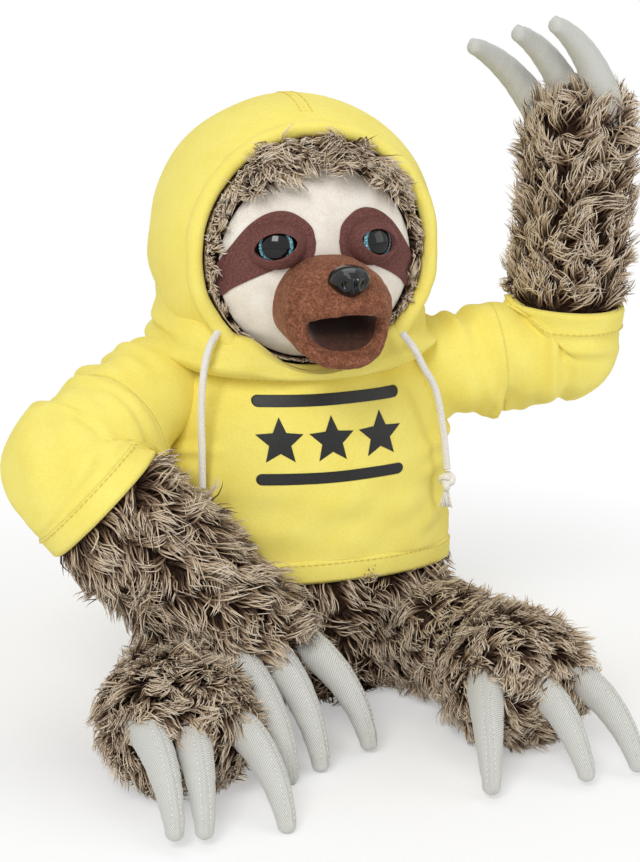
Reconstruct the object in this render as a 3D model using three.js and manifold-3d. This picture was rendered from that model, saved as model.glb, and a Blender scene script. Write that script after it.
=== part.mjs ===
// Plush sloth in a hooded sweatshirt, sitting, with one arm raised to wave.
// Millimetres. The toy faces -Y, its left is +X, and +Z is up. The origin is the
// centre of the flat seat, where the toy rests.

import * as THREE from 'three';
import { mergeVertices } from 'three/addons/utils/BufferGeometryUtils.js';
import Module from 'manifold-3d';

const wasm = await Module();
wasm.setup();

// Clearances and overrun

const gap = 0.3;              // between pieces that are sewn or pressed together
const runningGap = 0.8;       // between pieces that move on each other
const overrun = 600;          // how far a cutting block reaches past the toy

// Torso

const torsoHalfWidth = 72.5;
const torsoHalfDepth = 56;
const neckHeight = 186;       // top of the neck before the head's hollow is cut
const neckRadius = 31.5;
const seatRadius = 53;
const seatThickness = 1.5;
const pelletRadius = 24;
const pelletHeight = 26;
const pelletSetback = 29;     // behind the legs

// Head, turned and nodded about one centre

const headHeight = 217;
const headShift = -2;
const headRadius = 62;
const headTurn = 15;
const nodUp = 5;
const nodDown = 5;
const faceHalfAngle = 48;
const faceTilt = 6;
const faceThickness = 2.4;
const faceDepth = 1;          // how far the cream face lies below the fur

// Eyes and nose, plastic on stems with press-on washers

const eyeSpread = 22;
const eyeRise = 6.5;
const eyeRadius = 9;
const eyeDome = 6;
const stemRadius = 2.5;
const stemLength = 9;
const washerRadius = 7.5;
const washerThickness = 1.6;
const patchThickness = 0.8;
const patchLength = 34;
const patchWidth = 26;
const noseWidth = 18.5;
const noseHeight = 14.5;
const noseDepth = 10;
const noseTilt = 10;
const noseSeatAngle = 35;     // how far round the muzzle's brow the nose sits
const noseStemLength = 11;
const noseWasherRadius = 5.5;
const nostrilRadius = 1.6;

// Muzzle and jaw

const muzzleReach = 70;       // muzzle centre in front of the head's centre
const muzzleDrop = 14;
const muzzleHalfWidth = 25;
const muzzleLength = 29;
const muzzleHalfHeight = 18;
const jawReach = 61.5;        // jaw hinge in front of the head's centre
const jawDrop = 22.5;
const jawHalfWidth = 21;
const jawLength = 33;
const jawDepth = 11.5;
const jawOpenAngle = 25;
const jawShut = 22;
const jawYawn = 3;
const lipWidth = 4;
const liningThickness = 1.2;

// Sweatshirt

const clothThickness = 3;
const hemHeight = 56.5;       // hem at the side seams
const hemTilt = 9.5;          // the belly lifts the front of the hem
const hemBand = 9;
const hemProud = 0.8;
const hoodThickness = 4.3;
const hoodEase = 1.5;         // between the head and the hood
const rimWidth = 9.5;
const rimThickness = 6.5;
const hoodOpening = 34;       // the hood's cut edge in front of the head's centre
const rimEnd = 27;            // how far below the head's centre the rim stops
const collarRadius = 69.5;
const collarRise = 8;         // its lower edge above the shoulders
const collarHeight = 52;
const collarEdge = 195;       // its slanted top edge at the side seams
const collarTilt = 17;
const necklineBottom = 163.5;
const necklineRadius = 46;

// Arms

const shoulderSpread = 67.5;
const shoulderHeight = 150;
const shoulderRadius = 22;
const raisedUpperArm = 67;
const raisedElbowRadius = 22.5;
const raisedForearm = 104;    // elbow to the middle of the paw
const raisedForearmRadius = 26;
const raisedPawRadius = 24.5;
const restingUpperArm = 73.5;
const restingElbowRadius = 27;
const restingForearm = 111;
const restingForearmRadius = 29;
const restingPawRadius = 25;
const raisedClawSeat = 5;     // claw hinges in front of the paw's centre
const restingClawSeat = 12;
const armLift = 8;            // the lift that takes the resting hand off the leg
const sleeveEase = 0.5;       // how loosely the sleeve sits on the arm
const cuffLength = 23;
const cuffRoll = 2.2;
const wireRadius = 1.2;
const wireDrop = 11;          // shoulder wire below the head

// Legs and feet

const hipSpread = 42;
const hipForward = 24;
const hipTwist = 8;           // the right hip lies further forward
const hipHeight = 29.5;
const hipRadius = 27.5;
const legLength = 75;
const ankleRadius = 24;
const footLength = 25;        // ankle to the middle of the foot
const footRadius = 28;
const footWidthShare = 1.16;
const footClawSeat = 8;
const footClawRise = 3;
const footClawLift = 6;
const ankleLift = 12;

// Claws, stuffed fabric with one seam along the outer curve

const clawLength = 60;
const clawRadius = 8.3;
const clawTipRadius = 4;
const clawTaper = 1.6;
const clawTipShare = 0.6;     // the tip's flat end, and how far it stands out
const clawBend = 66;
const clawFlex = 12;
const clawSeam = 0.7;
const clawPitch = 20;         // from claw to claw
const clawFan = 20;
const slotDepth = 24;
const slotFlare = 10;

// Drawstrings

const cordRadius = 1.75;
const cordStep = 9;
const knotRadius = 4;
const knotLength = 11;

// Facets

const roundSides = 24;
const socketSides = 16;
const limbSides = 12;
const smallSides = 12;
const roomSides = 10;
const clawSides = 8;
const clawSteps = 6;
const cordSides = 8;
const capSteps = 3;
const sweepStep = 20;         // degrees between the places that a swept solid takes
const mergeDistance = 0.001;

// Colours

const cream = { color: 0xefe8dc, roughness: 0.9 };
const fur = { color: 0x8f7b69, roughness: 1 };
const yellow = { color: 0xf2e268, roughness: 0.95 };
const mauve = { color: 0x64403f, roughness: 0.9 };
const brown = { color: 0x78503c, roughness: 0.95 };
const darkBrown = { color: 0x3c1e18, roughness: 0.9 };
const black = { color: 0x0b0c0f, roughness: 0.12 };
const grey = { color: 0xafb1aa, roughness: 0.9 };
const white = { color: 0xf1efe8, roughness: 0.9 };
const steel = { color: 0xb8babd, roughness: 0.4, metalness: 1 };
const linen = { color: 0xd8cfbd, roughness: 0.9 };

// Points, directions and even steps

const vector = (x, y, z) => new THREE.Vector3(x, y, z);
const point = (x, y) => new THREE.Vector2(x, y);
const radians = THREE.MathUtils.degToRad;
const forward = vector(0, -1, 0);
const upward = vector(0, 0, 1);
const sideways = vector(1, 0, 0);

function evenly(low, high, steps) {
  return Array.from({ length: steps + 1 }, (_, i) => low + (high - low) * i / steps);
}

// Solids and meshes

function toSolid(geometry) {
  geometry.deleteAttribute('normal');
  geometry.deleteAttribute('uv');
  const merged = mergeVertices(geometry, mergeDistance);
  const kept = [];
  for (let i = 0; i < merged.index.count; i += 3) {
    const corners = [0, 1, 2].map((step) => merged.index.getX(i + step));
    if (new Set(corners).size === 3) kept.push(...corners);
  }
  const vertProperties = merged.attributes.position.array;
  return new wasm.Manifold(new wasm.Mesh({ numProp: 3, vertProperties, triVerts: Uint32Array.from(kept) }));
}

function toGeometry(solid) {
  const { vertProperties, triVerts } = solid.getMesh();
  const geometry = new THREE.BufferGeometry();
  geometry.setAttribute('position', new THREE.BufferAttribute(vertProperties, 3));
  geometry.setIndex(new THREE.BufferAttribute(triVerts, 1));
  geometry.computeVertexNormals();
  return geometry;
}

// The largest body of a cut solid, without the crumbs that a cut leaves
function largest(solid) {
  return solid.decompose().reduce((best, next) => (next.volume() > best.volume() ? next : best));
}

function without(solid, cuts) {
  return cuts.reduce((rest, cut) => rest.subtract(cut), solid);
}

function addPiece(frame, name, solid, finish) {
  const mesh = new THREE.Mesh(toGeometry(largest(solid)), new THREE.MeshStandardMaterial(finish));
  mesh.name = name;
  frame.add(mesh);
}

// Frames. A frame's +Z runs along its piece, and its +X is as near as can be to across.

const toy = new THREE.Group();

function makeFrame(parent, origin, along, across) {
  const z = along.clone().normalize();
  const y = vector().crossVectors(z, across).normalize();
  const x = vector().crossVectors(y, z);
  const frame = new THREE.Group();
  frame.position.copy(origin);
  frame.quaternion.setFromRotationMatrix(new THREE.Matrix4().makeBasis(x, y, z));
  toy.add(frame);
  toy.updateMatrixWorld(true);
  parent.attach(frame);
  toy.updateMatrixWorld(true);
  return frame;
}

// A solid of one frame, given in the coordinates of another
function carried(solid, from, to) {
  const step = to.matrixWorld.clone().invert().multiply(from.matrixWorld);
  return solid.transform(step.elements);
}

// A moving frame turns about an axis through its origin, between two angles
function addHinge(frame, axis, low, high) {
  const localAxis = axis.clone().transformDirection(frame.matrixWorld.clone().invert());
  const angles = evenly(low, high, Math.ceil((high - low) / sweepStep));
  frame.userData = { axis: localAxis, angles: [0, ...angles.filter((angle) => angle !== 0)] };
}

// All the places that a solid takes as its frame turns
function swept(solid, frame, direction = 1) {
  const { axis, angles } = frame.userData;
  const turn = (angle) => new THREE.Matrix4().makeRotationAxis(axis, radians(direction * angle));
  return wasm.Manifold.union(angles.map((angle) => solid.transform(turn(angle).elements)));
}

// Basic forms

// A profile of radius and height, turned about Z
function turned(points, sides) {
  return toSolid(new THREE.LatheGeometry(points, sides).rotateX(radians(90)));
}

function ball(radius, sides = roundSides) {
  return toSolid(new THREE.SphereGeometry(radius, sides, sides / 2).rotateX(radians(90)));
}

// A ball whose flat facets all lie outside a radius, to cut the space for another ball
function ballSpace(radius, sides = roundSides) {
  return ball(radius / Math.cos(Math.PI / sides) ** 2, sides);
}

function rod(radius, from, to, sides = smallSides) {
  const length = to - from;
  const geometry = new THREE.CylinderGeometry(radius, radius, length, sides).rotateX(radians(90));
  return toSolid(geometry.translate(0, 0, from + length / 2));
}

// Everything above a level that leans about X
function above(height, tilt = 0) {
  const block = new THREE.BoxGeometry(overrun, overrun, overrun).translate(0, 0, overrun / 2);
  return toSolid(block.rotateX(radians(tilt)).translate(0, 0, height));
}

// Everything in front of a distance, towards the viewer
function inFront(distance) {
  const block = new THREE.BoxGeometry(overrun, overrun, overrun);
  return toSolid(block.translate(0, -distance - overrun / 2, 0));
}

// An arc of radius and height about a centre on the axis, from one angle off -Z to another
function arc(centre, radius, from, to, steps) {
  return evenly(radians(from), radians(to), steps)
    .map((a) => point(radius * Math.sin(a), centre - radius * Math.cos(a)));
}

// A soft limb: round ends about its first and last stations, and a smooth swell between
function limb(stations, grow = 0, sides = limbSides) {
  const flank = stations.map(([along, radius]) => point(radius + grow, along));
  const first = flank[0];
  const last = flank[flank.length - 1];
  const middle = new THREE.SplineCurve(flank).getPoints(stations.length);
  const start = arc(first.y, first.x, 0, 90, capSteps).slice(0, -1);
  const end = arc(last.y, last.x, 90, 180, capSteps).slice(1, -1);
  return turned([point(0, start[0].y), ...start.slice(1), ...middle, ...end, point(0, last.y + last.x)], sides);
}

// The space that a limb needs as it turns on its hinge: a ball there, and its flank
function limbSpace(stations, frame) {
  const ease = Math.cos(Math.PI / roomSides);
  const [[, start], [end, finish]] = [stations[0], stations[stations.length - 1]];
  const flank = [point((start + gap) / ease, 0), point((finish + gap) / ease, end)];
  const cone = turned([point(0, 0), ...flank, point(0, end)], roomSides);
  return swept(cone, frame).add(ballSpace(start + gap, socketSides));
}

// A cap of a spherical shell about +Z, from the axis out to a half angle
function capShell(outer, inner, halfAngle) {
  const angles = evenly(0, radians(halfAngle), capSteps + 2);
  const bow = (radius) => angles.map((a) => point(radius * Math.sin(a), radius * Math.cos(a)));
  return turned([...bow(inner), ...bow(outer).reverse()], roundSides);
}

function egg(halfWidth, length, halfHeight, grow = 0) {
  const unit = new THREE.SphereGeometry(1, smallSides, smallSides / 2).rotateX(radians(90));
  return toSolid(unit.scale(halfWidth + grow, length + grow, halfHeight + grow));
}

// A skin over rings of points, closed at both ends by a fan
function loft(rings) {
  const count = rings[0].length;
  const places = rings.flat();
  const middleOf = (ring) => ring.reduce((sum, place) => sum.add(place), vector()).divideScalar(count);
  const first = places.push(middleOf(rings[0])) - 1;
  const last = places.push(middleOf(rings[rings.length - 1])) - 1;
  const top = (rings.length - 1) * count;
  const index = [];
  for (let i = 0; i < count; i += 1) {
    const next = (i + 1) % count;
    index.push(first, i, next, last, top + next, top + i);
    for (let ring = 0; ring < top; ring += count) {
      index.push(ring + i, ring + count + next, ring + next);
      index.push(ring + i, ring + count + i, ring + count + next);
    }
  }
  return toSolid(new THREE.BufferGeometry().setFromPoints(places).setIndex(index));
}

// Torso: a pear of plush, widest over the seat, with a short neck

const torsoProfileShares = [
  [0.05, 0.875], [0.15, 0.975], [0.3, 1], [0.5, 0.99],
  [0.67, 0.945], [0.79, 0.845], [0.87, 0.68], [0.93, 0.434],
];
const torsoDepthShare = torsoHalfDepth / torsoHalfWidth;

function torsoForm(grow) {
  const base = seatThickness + gap;
  const flank = torsoProfileShares.map(([up, out]) => point(out * torsoHalfWidth + grow, up * (neckHeight + grow)));
  const profile = [point(0, base), point(seatRadius + grow, base), ...flank];
  profile.push(point(neckRadius + grow, neckHeight), point(0, neckHeight));
  const geometry = new THREE.LatheGeometry(profile, roundSides).rotateX(radians(90));
  return toSolid(geometry.scale(1, (torsoHalfDepth + grow) / (torsoHalfWidth + grow), 1));
}

const pelletProfileShares = [[1, 0], [1, 0.6], [0.85, 0.9], [0.5, 1]];

function pelletForm(grow) {
  const low = seatThickness + gap - grow;
  const flank = pelletProfileShares
    .map(([out, up]) => point(out * pelletRadius + grow, low + up * (pelletHeight + 2 * grow)));
  const high = flank[flank.length - 1].y;
  const bag = turned([point(0, low), ...flank, point(0, high)], limbSides);
  return bag.scale([1, torsoDepthShare, 1]).translate([0, pelletSetback, 0]);
}

// The room above the shoulders: a bowl for the hood, with a smaller bowl for the head
// on the neck
const hoodInner = headRadius + hoodEase;
const hoodOuter = hoodInner + hoodThickness;
const headCentre = vector(headShift, 0, headHeight);

function bowl() {
  const ease = Math.cos(Math.PI / roundSides);
  const headSpace = (headRadius + gap) / ease;
  const hoodSpace = (hoodOuter + gap) / ease ** 2;
  const headAngle = THREE.MathUtils.radToDeg(Math.asin(neckRadius / headSpace));
  const hoodAngle = THREE.MathUtils.radToDeg(Math.asin(neckRadius / hoodSpace));
  const inner = arc(headHeight, headSpace, 0, headAngle, 2);
  const outer = arc(headHeight, hoodSpace, hoodAngle, 90, capSteps);
  const profile = [...inner, ...outer, point(hoodSpace, overrun), point(0, overrun)];
  return turned(profile, roundSides).translate([headShift, 0, 0]);
}

function buildTorso(limbSpaces) {
  const wireHeight = headHeight - headRadius - wireDrop;
  const crossing = (radius, half) => (
    rod(radius, -half, half, smallSides / 2).rotate([0, 90, 0]).translate([0, 0, wireHeight])
  );
  const wire = crossing(wireRadius, shoulderSpread / 2).intersect(torsoForm(-runningGap));
  const room = [...limbSpaces, bowl(), pelletForm(2 * gap), crossing(wireRadius + gap, overrun)];
  addPiece(toy, 'torso', without(torsoForm(0), room), fur);
  addPiece(toy, 'shoulder_wire', wire, steel);
  const seat = rod(seatRadius, 0, seatThickness, roundSides).scale([1, torsoDepthShare, 1]);
  addPiece(toy, 'seat_panel', seat, linen);
  addPiece(toy, 'pellet_bag', pelletForm(0), linen);
}

// Sweatshirt body: one shell from the hem to the neck, with a turned-up band at the hem

const clothOutside = gap + clothThickness;

function buildSweatshirt(limbSpaces) {
  const inner = torsoForm(gap);
  const neck = rod(neckRadius + runningGap, 0, overrun, roundSides).translate([headShift, 0, 0]);
  const dent = armDent(rightArm, toy);
  const shell = without(torsoForm(clothOutside), [inner, neck, bowl(), dent, ...limbSpaces]);
  addPiece(toy, 'hoodie_body', shell.intersect(above(hemHeight + hemBand + gap, -hemTilt)), yellow);
  const band = without(torsoForm(clothOutside + hemProud), [inner, dent, ...limbSpaces]);
  const strip = band.intersect(above(hemHeight, -hemTilt)).subtract(above(hemHeight + hemBand, -hemTilt));
  addPiece(toy, 'hem_band', strip, yellow);
}

// Collar: the skirt of the hood, sewn to the shoulders. It is low in front and high behind.

const collarProfileShares = [[0.5, 0], [0.84, 0], [0.96, 0.2], [1, 0.45], [0.99, 0.75], [0.96, 1], [0.5, 1]];

function buildCollar(limbSpaces) {
  const bottom = shoulderHeight + collarRise;
  const profile = collarProfileShares.map(([out, up]) => point(out * collarRadius, bottom + up * collarHeight));
  const ring = turned([...profile, profile[0]], roundSides);
  const hoodSpace = ballSpace(hoodOuter + gap).translate([0, 0, headHeight]);
  const notch = rod(necklineRadius, 0, overrun, roundSides).rotate([90, 0, 0])
    .translate([0, 0, necklineBottom + necklineRadius]);
  const placed = without(ring, [above(collarEdge, collarTilt), hoodSpace, notch]).translate([headShift, 0, 0]);
  const cordSpaces = drawstrings.map(({ route }) => (
    cordForm(route, gap).add(ball(cordRadius + 2 * gap, cordSides).translate(route[0]))
  ));
  const cuts = [torsoForm(clothOutside + gap), ...limbSpaces, ...cordSpaces];
  addPiece(toy, 'collar', without(placed, cuts), yellow);
}

// Drawstrings: they leave the casing's ends and hang down the chest, each to a knot

const drawstrings = [{
  name: 'left',
  route: [[36, -52, 180], [41, -54.5, 173], [47, -51, 163], [55, -46, 150], [60, -43, 130], [63, -41, 110]],
}, {
  name: 'right',
  route: [[-47, -41, 184], [-53, -46, 177], [-56, -47, 165], [-57, -46, 148], [-57, -46, 130], [-57, -46, 112]],
}];

function cordForm(route, grow = 0) {
  const path = new THREE.CatmullRomCurve3(route.map((place) => vector(...place)));
  const radius = cordRadius + grow;
  const section = evenly(0, 2 * Math.PI, cordSides).slice(0, -1)
    .map((a) => point(radius * Math.cos(a), radius * Math.sin(a)));
  const steps = Math.round(path.getLength() / cordStep);
  const options = { steps, extrudePath: path, bevelEnabled: false };
  return toSolid(new THREE.ExtrudeGeometry(new THREE.Shape(section), options));
}

function buildDrawstrings() {
  drawstrings.forEach(({ name, route }) => {
    const end = route[route.length - 1];
    const knot = egg(knotRadius, knotRadius, knotLength / 2);
    const drop = gap + knotLength / 2;
    addPiece(toy, `drawstring_${name}`, cordForm(route), white);
    addPiece(toy, `knot_${name}`, knot.translate([end[0], end[1], end[2] - drop]), white);
  });
}

// Hood: a deep spherical bag that turns on the neck, with a drawstring casing round its edge

const hoodFrame = makeFrame(toy, headCentre, upward, sideways);
addHinge(hoodFrame, upward, -headTurn, headTurn);

function buildHood() {
  const neckHole = rod(neckRadius + runningGap, -overrun, 0, roundSides);
  const shell = without(ball(hoodOuter), [ball(hoodInner), inFront(hoodOpening), neckHole]);
  addPiece(hoodFrame, 'hood', shell, yellow);
  const middle = Math.sqrt(hoodOuter ** 2 - hoodOpening ** 2) - rimThickness / 2;
  const section = evenly(0, 2 * Math.PI, cordSides).map((a) => point(
    middle + rimThickness / 2 * Math.cos(a),
    hoodOpening + gap + rimWidth / 2 * (1 + Math.sin(a)),
  ));
  const ring = toSolid(new THREE.LatheGeometry(section, roundSides)).rotate([180, 0, 0]);
  addPiece(hoodFrame, 'hood_rim', ring.intersect(above(-rimEnd)), yellow);
}

// Head: a ball of plush with a cream face let into it

const headFrame = makeFrame(hoodFrame, headCentre, upward, sideways);
addHinge(headFrame, sideways, -nodUp, nodDown);
const faceAxis = forward.clone().applyAxisAngle(sideways, radians(faceTilt));
const faceFrame = makeFrame(headFrame, headCentre, faceAxis, sideways);
const faceOuter = headRadius - faceDepth;
const faceInner = faceOuter - faceThickness;
const gapAngle = THREE.MathUtils.radToDeg(gap / headRadius);

// Eyes: each dome stands on the face, with its stem through the cloth to a washer

const eyeBase = faceOuter + gap + patchThickness + gap;
const washerFace = Math.sqrt(faceInner ** 2 - washerRadius ** 2) - 2 * gap;

function makeEyeFrame(sign) {
  const depth = Math.sqrt(faceOuter ** 2 - eyeSpread ** 2 - eyeRise ** 2);
  return makeFrame(headFrame, headCentre, vector(sign * eyeSpread, -depth, eyeRise), sideways);
}

function eyeSolid() {
  const end = eyeBase - stemLength;
  const dome = evenly(0, radians(90), capSteps)
    .map((a) => point(eyeRadius * Math.cos(a), eyeBase + eyeDome * Math.sin(a))).slice(0, -1);
  const stem = [point(0, end), point(stemRadius, end), point(stemRadius, eyeBase)];
  return turned([...stem, ...dome, point(0, eyeBase + eyeDome)], smallSides);
}

function washerSolid(radius, face) {
  const hole = rod(stemRadius + gap, -overrun, overrun);
  return rod(radius, face - washerThickness, face).subtract(hole);
}

function eyePocket() {
  const pocket = rod(washerRadius + gap, washerFace - washerThickness - gap, headRadius + gap);
  return pocket.add(rod(stemRadius + gap, eyeBase - stemLength - gap, headRadius));
}

// The dark patch round an eye: round at the nose, with a band that runs out and down
function patchSolid(sign, eyeFrame) {
  const half = patchWidth / 2;
  const at = (x, y) => [x * half, y * half];
  const end = patchLength / half;
  const shape = new THREE.Shape();
  shape.moveTo(...at(-0.9, 0));
  shape.bezierCurveTo(...at(-0.9, 0.9), ...at(0, 1), ...at(0.5, 0.6));
  shape.bezierCurveTo(...at(end * 0.5, 0.2), ...at(end * 0.8, -0.3), ...at(end, -0.9));
  shape.lineTo(...at(end * 0.85, -1.9));
  shape.bezierCurveTo(...at(end * 0.6, -1.3), ...at(0, -1.3), ...at(-0.5, -0.75));
  shape.bezierCurveTo(...at(-0.75, -0.55), ...at(-0.9, -0.3), ...at(-0.9, 0));
  const slab = new THREE.ExtrudeGeometry(shape, { depth: headRadius, bevelEnabled: false, curveSegments: capSteps });
  const outline = carried(toSolid(slab).scale([sign, 1, 1]), eyeFrame, headFrame);
  const shell = capShell(faceOuter + gap + patchThickness, faceOuter + gap, faceHalfAngle);
  const hole = carried(rod(stemRadius + gap, 0, overrun), eyeFrame, headFrame);
  return without(outline.intersect(carried(shell, faceFrame, headFrame)), [hole, muzzleForm(gap)]);
}

function buildHead() {
  const eyes = [['left', 1], ['right', -1]].map(([side, sign]) => ({ side, sign, frame: makeEyeFrame(sign) }));
  const pockets = eyes.map(({ frame }) => carried(eyePocket(), frame, headFrame));
  const holes = eyes.map(({ frame }) => carried(rod(stemRadius + gap, 0, overrun), frame, headFrame));
  const recess = capShell(headRadius + gap, faceInner - gap, faceHalfAngle + gapAngle);
  addPiece(headFrame, 'head', without(ball(headRadius), [carried(recess, faceFrame, headFrame), ...pockets]), fur);
  const panel = carried(capShell(faceOuter, faceInner, faceHalfAngle), faceFrame, headFrame);
  addPiece(headFrame, 'face_panel', without(panel, holes), cream);
  eyes.forEach(({ side, sign, frame }) => {
    addPiece(headFrame, `eye_patch_${side}`, patchSolid(sign, frame), mauve);
    addPiece(frame, `eye_${side}`, eyeSolid(), black);
    addPiece(frame, `eye_washer_${side}`, washerSolid(washerRadius, washerFace), white);
  });
}

// Muzzle: an egg of plush cut off level at the lip, with the nose stem through its front

const lipHeight = runningGap - jawDrop;
const lipShare = Math.sqrt(1 - ((muzzleDrop + lipHeight) / muzzleHalfHeight) ** 2);

function muzzleForm(grow = 0) {
  const whole = egg(muzzleHalfWidth, muzzleLength, muzzleHalfHeight, grow);
  const raised = whole.translate([0, -muzzleReach, -muzzleDrop]);
  return raised.intersect(above(lipHeight - grow)).subtract(ballSpace(faceOuter + gap - grow));
}

function palateForm(grow) {
  const disc = rod(1, -grow, liningThickness + grow);
  const wide = muzzleHalfWidth * lipShare - lipWidth + grow;
  const long = muzzleLength * lipShare - lipWidth + grow;
  return disc.scale([wide, long, 1]).translate([0, -muzzleReach, lipHeight]);
}

function makeNoseFrame() {
  const seat = radians(noseSeatAngle);
  const y = -muzzleReach - muzzleLength * Math.cos(seat);
  const z = -muzzleDrop + muzzleHalfHeight * Math.sin(seat);
  const along = forward.clone().applyAxisAngle(sideways, -radians(noseTilt));
  return makeFrame(headFrame, headCentre.clone().add(vector(0, y, z)), along, sideways);
}

const noseTaperShare = 0.35;

function noseForm() {
  const geometry = new THREE.SphereGeometry(1, smallSides, smallSides / 2);
  const place = geometry.attributes.position;
  for (let i = 0; i < place.count; i += 1) {
    const low = Math.max(0, -place.getY(i));
    place.setX(i, place.getX(i) * (1 - noseTaperShare * low));
  }
  return toSolid(geometry.scale(noseWidth / 2, noseHeight / 2, noseDepth));
}

function buildMuzzle() {
  const noseFrame = makeNoseFrame();
  const washerBack = washerThickness - noseStemLength;
  const bore = rod(stemRadius + gap, -noseStemLength, noseDepth);
  const pocket = rod(noseWasherRadius + gap, -overrun, washerBack + gap);
  const cuts = carried(bore.add(pocket), noseFrame, headFrame);
  addPiece(headFrame, 'muzzle', without(muzzleForm(), [cuts, palateForm(gap)]), brown);
  addPiece(headFrame, 'palate', palateForm(0).subtract(ballSpace(faceOuter + gap)), darkBrown);
  const nostrils = [1, -1].map((sign) => rod(nostrilRadius, noseDepth / 2, noseDepth * 2, smallSides / 2)
    .translate([sign * noseWidth / 4, -noseHeight / 8, 0]));
  const seated = noseForm().subtract(carried(muzzleForm(gap), headFrame, noseFrame));
  const stemmed = seated.add(rod(stemRadius, -noseStemLength, 0));
  addPiece(noseFrame, 'nose', without(stemmed, nostrils), black);
  addPiece(noseFrame, 'nose_washer', washerSolid(noseWasherRadius, washerBack), white);
}

// Jaw: the lower lip, drawn shut and then opened about its hinge

const jawCentre = headCentre.clone().add(vector(0, -jawReach, -jawDrop));
const jawFrame = makeFrame(headFrame, jawCentre, upward, sideways);
addHinge(jawFrame, sideways, -jawShut, jawYawn);
const jawFace = -runningGap / 2;

function jawDisc(grow) {
  const disc = rod(1, jawFace - liningThickness - grow, jawFace + grow);
  return disc.scale([jawHalfWidth - lipWidth + grow, jawLength - lipWidth + grow, 1]);
}

// Opens a shut piece, and takes away what would meet the face or the muzzle
function opened(solid) {
  const fixed = carried(ballSpace(headRadius).add(muzzleForm(gap)), headFrame, jawFrame);
  return solid.rotate([jawOpenAngle, 0, 0]).subtract(swept(fixed, jawFrame, -1));
}

function buildJaw() {
  const closed = without(egg(jawHalfWidth, jawLength, jawDepth), [above(jawFace), jawDisc(gap)]);
  addPiece(jawFrame, 'jaw', opened(closed), brown);
  addPiece(jawFrame, 'jaw_lining', opened(jawDisc(0)), darkBrown);
}

// Arms. Each is set by where its upper arm, forearm and claws point.

const arms = [{
  name: 'left',
  sign: 1,
  upperArmLength: raisedUpperArm,
  elbowRadius: raisedElbowRadius,
  forearmLength: raisedForearm,
  forearmRadius: raisedForearmRadius,
  pawRadius: raisedPawRadius,
  upperArmShares: [0.96, -0.14, 0.12],
  forearmShares: [0.04, -0.04, 1],
  shoulderAxis: forward,
  shoulderRange: [-35, 16],
  elbowSwingShares: [-1, 0.15, 0],
  elbowRange: [-60, 6],
  clawRange: [-clawFlex, clawFlex],
  clawAlongShares: [-0.17, 0.15, 0.97],
  clawRowShares: [0.55, -0.75, 0.36],
  clawPitchShare: 0.85,
  clawFanShares: [-0.7, -0.2, 0],
  clawSeat: raisedClawSeat,
}, {
  name: 'right',
  sign: -1,
  upperArmLength: restingUpperArm,
  elbowRadius: restingElbowRadius,
  forearmLength: restingForearm,
  forearmRadius: restingForearmRadius,
  pawRadius: restingPawRadius,
  upperArmShares: [-0.685, -0.65, -0.326],
  forearmShares: [0.69, -0.25, -0.71],
  shoulderAxis: sideways.clone().negate(),
  shoulderRange: [0, 45],
  elbowSwingShares: [-0.1, -0.65, 0.75],
  elbowRange: [0, 30],
  clawRange: [-clawFlex, 0],
  clawAlongShares: [0.42, -0.84, -0.24],
  clawRowShares: [0.88, 0.44, 0.04],
  clawPitchShare: 0.9,
  clawFanShares: [-0.2, -0.2, 0.5],
  clawSeat: restingClawSeat,
}];

// Along each arm, how wide it is: the fur, and the cloth over it
function armStations({ upperArmLength, elbowRadius, forearmLength, forearmRadius, pawRadius }) {
  const cloth = sleeveEase + clothThickness;
  const cuffRadius = elbowRadius + cloth;
  const upperArm = [
    [0, shoulderRadius],
    [upperArmLength / 2, (shoulderRadius + elbowRadius) / 2],
    [upperArmLength, elbowRadius],
  ];
  const forearm = [
    [0, elbowRadius],
    ...forearmSwellShares.map(([along, out]) => [along * forearmLength, out * forearmRadius]),
    [forearmLength, pawRadius],
  ];
  return {
    upperArm,
    forearm,
    sleeve: upperArm.map(([along, radius]) => [along, radius + cloth]),
    cuff: [[0, cuffRadius], [cuffLength, cuffRadius + cuffRoll]],
    bend: [[0, cuffRadius], [2 * cuffLength, cuffRadius + 2 * cuffRoll]],
  };
}

const forearmSwellShares = [[0.4, 1], [0.75, 0.95]];

// Three claws side by side, each hinged where it is sewn into the paw
function makeClawFrames(parent, middle, along, row, { pitch, clawRange, clawFanShares }) {
  const back = vector().crossVectors(along, row).normalize();
  return clawFanShares.map((fanShare, i) => {
    const seat = middle.clone().addScaledVector(row, (i - 1) * pitch);
    const fan = radians(clawFan * fanShare);
    const across = row.clone().applyAxisAngle(back, fan);
    const frame = makeFrame(parent, seat, along.clone().applyAxisAngle(back, fan), across);
    addHinge(frame, across, ...clawRange);
    return frame;
  });
}

// The direction along a row of claws, square to the way they point
function squareTo(along, rowShares) {
  const row = vector(...rowShares);
  return row.addScaledVector(along, -along.dot(row)).normalize();
}

function makeArm(arm) {
  const upper = vector(...arm.upperArmShares).normalize();
  const fore = vector(...arm.forearmShares).normalize();
  const shoulder = vector(arm.sign * shoulderSpread, 0, shoulderHeight);
  const elbow = shoulder.clone().addScaledVector(upper, arm.upperArmLength);
  const paw = elbow.clone().addScaledVector(fore, arm.forearmLength);
  const bend = vector().crossVectors(fore, vector(...arm.elbowSwingShares)).normalize();
  const shoulderFrame = makeFrame(toy, shoulder, upper, upward);
  addHinge(shoulderFrame, arm.shoulderAxis, ...arm.shoulderRange);
  const elbowFrame = makeFrame(shoulderFrame, elbow, fore, bend);
  addHinge(elbowFrame, bend, ...arm.elbowRange);
  const along = vector(...arm.clawAlongShares).normalize();
  const row = squareTo(along, arm.clawRowShares);
  const pitch = clawPitch * arm.clawPitchShare;
  const seat = paw.clone().addScaledVector(along, arm.clawSeat);
  const claws = makeClawFrames(elbowFrame, seat, along, row, { ...arm, pitch });
  return { ...arm, stations: armStations(arm), shoulderFrame, elbowFrame, claws };
}

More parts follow.
